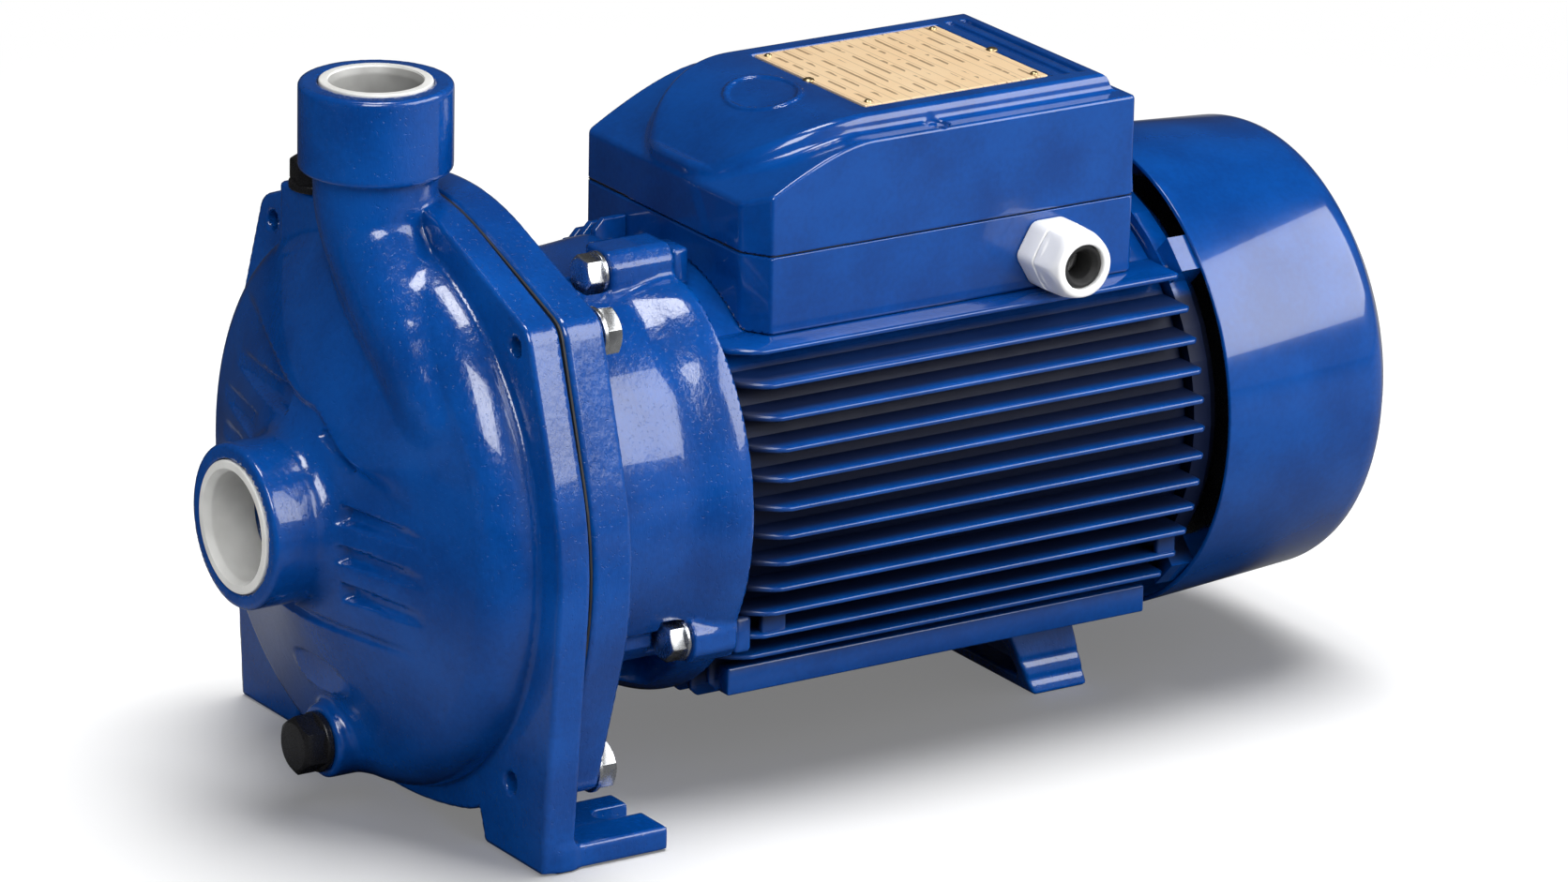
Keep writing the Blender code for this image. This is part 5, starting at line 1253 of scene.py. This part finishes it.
def hexagon_field(u, v, across_flats):
    """A hexagon's distance in the plane across the gland's axis."""
    turns = [radians(30 + 60 * k) for k in range(6)]
    sides = [u * cos(a) + v * sin(a) - across_flats / 2 for a in turns]
    return np.maximum.reduce(np.broadcast_arrays(*sides))


def gland_body(x, y, z):
    """The hexagon against the box and the shank inside it."""
    u, v = y - GLAND_STATION, z - GLAND_HEIGHT
    radius = np.hypot(u, v)
    start, end = body_low[0] + 11, body_high[0]
    hexes = common(hexagon_field(u, v, FLATS), between(x, start, end), 0.5)
    hexes = common(hexes, radius - FLATS / 2 * 1.1, 0.5)
    shank = np.maximum(radius - 8, between(x, body_low[0], end))
    return carve(np.minimum(hexes, shank), radius - 5, 0.3)


def gland_nut(x, y, z):
    """Six flats that run out in a dome, and a round collar behind them."""
    u, v = y - GLAND_STATION, z - GLAND_HEIGHT
    radius = np.hypot(u, v)
    start, end = nut_low[0], nut_high[0]
    hexes = common(hexagon_field(u, v, FLATS - 0.6), between(x, start, end), 0.8)
    dome = hull((x, u, v), (start - 4, 0, 0), (end - 7, 0, 0), 13.6, 13.0)
    nut = common(hexes, dome, 0.8)
    collar = bar(u, v, x, 12, start, start + 3, 0.6)
    nut = blend(nut, collar, 0.6)
    return carve(nut, radius - 8.3, 0.8)


for node, field, start, end in (("gland_body", gland_body, body_low[0], body_high[0]),
                                ("gland_nut", gland_nut, nut_low[0], nut_high[0])):
    net(node + "_nylon", field,
        (start, GLAND_STATION - GLAND_MARGIN, GLAND_HEIGHT - GLAND_MARGIN),
        (end, GLAND_STATION + GLAND_MARGIN, GLAND_HEIGHT + GLAND_MARGIN), GLAND_CELL, nylon,
        "white_nylon", node)
seal_profile = rounded([(5.0, 1), (7.9, 1), (7.9, 12.6), (6.6, 12.6), (5.0, 10.5)], 0.5,
                       closed=True)
fit("gland_seal_rubber", lathe(seal_profile, (nut_low[0], GLAND_STATION, GLAND_HEIGHT),
                               (1, 0, 0), 64), rubber, "black_rubber", "gland_seal")

# %% [markdown]
# ## Solids that stay
# Gaskets, shaft, impeller, slinger, end shield and fan already have the right shape, and are
# mostly seen through gaps. They keep the frame's solids and get their finish here.

# %% Finish the frame's own solids
KEPT = {"body_gasket": rubber, "terminal_box_gasket": rubber, "shaft_slinger": rubber,
        "motor_shaft": steel, "impeller": bronze, "cooling_fan": black_plastic,
        "rear_shield": fin_enamel_painted_shade}
for name, material in KEPT.items():
    solid = frame["nodes"][name]
    solid.data.materials.clear()
    solid.data.materials.append(material)
print("kept", sorted(KEPT))

# %% [markdown]
# ## Studio
# Deep blue enamel on a white floor needs two lights: what makes the floor white would bleach
# the paint. So each lamp shines either on the pump or on the floor. A wide window on the
# right draws the long highlights, a softbox those in front, and a low glow from the left
# fills the dome's underside. In the paint's mirror the floor is dim, and nearly dark farther
# off in front, so that faces turned down stay deep; to the camera it is white, with a shadow.

# %% Floor
FLOOR_SIZE = 40
PAPER = (0.93, 0.93, 0.93)
mesh = bpy.data.meshes.new("floor")
half = FLOOR_SIZE / 2
mesh.from_pydata([(-half, -half, 0), (half, -half, 0), (half, half, 0), (-half, half, 0)], [],
                 [(0, 1, 2, 3)])
floor = add_object("floor", mesh)
paper = Finish("white_floor", PAPER, 0.9)
paper.set("Specular IOR Level", 0.0)
mesh.materials.append(paper.material)
far = paper.start.node("VectorMath", {"operation": "LENGTH"}, {0: paper.place}, "Value")
behind = paper.start.node("VectorMath", {"operation": "DOT_PRODUCT"},
                          {0: paper.place, 1: (0.3, 0.95, 0)}, "Value").over(0.2, 0.4)
seen = paper.start.node("LightPath", output="Is Camera Ray")
mirrored = paper.start.node("LightPath", output="Is Glossy Ray")
through = paper.start.node("LightPath", output="Is Transmission Ray")
shine = 0.16 - far.over(0.35, 0.12) * (0.14 - 0.16 * behind)
for_paint = mirrored.mix((0.42, 0.42, 0.42, 1.0), shine)
paper.set("Base Color", seen.mix(for_paint, (*PAPER, 1.0)))
looked_at = paper.start.reckon("MINIMUM", seen + 0.1 * mirrored * behind + through, 1.0)
white = paper.start.node("Emission", {}, {"Color": (1, 1, 1, 1), "Strength": 1.0})
mix = paper.start.node("MixShader", {}, {0: looked_at * (0.18 + 0.82 * far.over(0.62, 0.3))})
paper.tree.links.new(paper.shader.outputs[0], mix.socket.node.inputs[1])
paper.tree.links.new(white.socket, mix.socket.node.inputs[2])
paper.tree.links.new(mix.socket, paper.tree.nodes["Material Output"].inputs["Surface"])

print("floor of", FLOOR_SIZE, "metres")

# %% [markdown]
# The room is nearly dark, with one side that is a little brighter, on the right. It keeps
# the mirror of the bolts and the enamel from going black where no lamp is seen.

# %% Room
world = bpy.data.worlds.new("room")
scene.world = world
world.use_nodes = True
room = Wire(world.node_tree)
direction = room.node("TexCoord", output="Generated")
sky = room.node("VectorMath", {"operation": "DOT_PRODUCT"},
                {0: direction, 1: Vector((0.80, 0.58, 0.05)).normalized()}, "Value")
level = 0.04 + 0.22 * sky.over(0.62, 0.35)
shade = world.node_tree.nodes["Background"]
world.node_tree.links.new(level.socket, shade.inputs["Strength"])
shade.inputs["Color"].default_value = (1, 1, 1, 1)


# %% [markdown]
# Light linking gives each lamp a collection of receivers. The lamps without a mirror image
# only lift the shade, and those with one draw the highlights.

# %% Lamps
on_floor = bpy.data.collections.new("on_floor")
on_pump = bpy.data.collections.new("on_pump")
for thing in scene.objects:
    if thing.type == "MESH":
        (on_floor if thing is floor else on_pump).objects.link(thing)


def lamp(name, place, width, height, power, receivers, glossy=True):
    """A soft rectangular light that faces the pump, in metres and watts."""
    data = bpy.data.lights.new(name, "AREA")
    data.shape = "RECTANGLE"
    data.size = width
    data.size_y = height
    data.energy = power
    thing = add_object(name, data)
    thing.location = place
    way = Vector((0, 0, 0.1)) - Vector(place)
    thing.rotation_euler = way.to_track_quat("-Z", "Y").to_euler()
    thing.visible_glossy = glossy
    thing.light_linking.receiver_collection = receivers


lamp("overhead", (0.0, -0.1, 1.9), 0.6, 0.6, 12, on_pump)
lamp("window", (1.22, 1.24, 1.25), 2.3, 1.4, 42, on_pump)
lamp("softbox", (1.14, -0.98, 1.42), 0.8, 1.0, 20, on_pump)
lamp("fill_right", (1.9, 0.4, 1.1), 1.2, 1.2, 17, on_pump, False)
lamp("floor_glow", (-0.1, -1.3, 0.1), 1.0, 0.3, 5, on_pump, False)
lamp("floor_light", (-0.2, 0.35, 2.4), 1.8, 1.8, 94, on_floor, False)
print("studio ready")

# %% [markdown]
# ## Camera
# A long lens, a little above the pump and to its right, found by matching the pump's own
# edges in the photograph. The framing needs a small shift and no depth of field.

# %% The photograph's view
AZIMUTH, ELEVATION, ROLL = (radians(a) for a in (57.619, 18.765, 0.895))
DISTANCE, FOCAL = 3.3771, 10000 / 1672 * 36
SHIFT = (124.493 / 1672, 5.028 / 1672)
back = Vector((sin(AZIMUTH) * cos(ELEVATION), -cos(AZIMUTH) * cos(ELEVATION),
               sin(ELEVATION)))
right = Vector((cos(AZIMUTH), sin(AZIMUTH), 0))
up = back.cross(right)
tilted = right * cos(ROLL) + up * sin(ROLL)
upright = up * cos(ROLL) - right * sin(ROLL)
lens = bpy.data.cameras.new("camera")
camera = add_object("camera", lens)
matrix = Matrix((tilted, upright, back)).transposed().to_4x4()
matrix.translation = spot(0, 180, 0) + back * DISTANCE
camera.matrix_world = matrix
lens.lens = FOCAL
lens.sensor_width = 36
lens.shift_x, lens.shift_y = SHIFT
lens.clip_start, lens.clip_end = 0.1, 100
scene.camera = camera
scene.view_settings.view_transform = "Standard"
print("camera at", [round(v, 3) for v in camera.location])
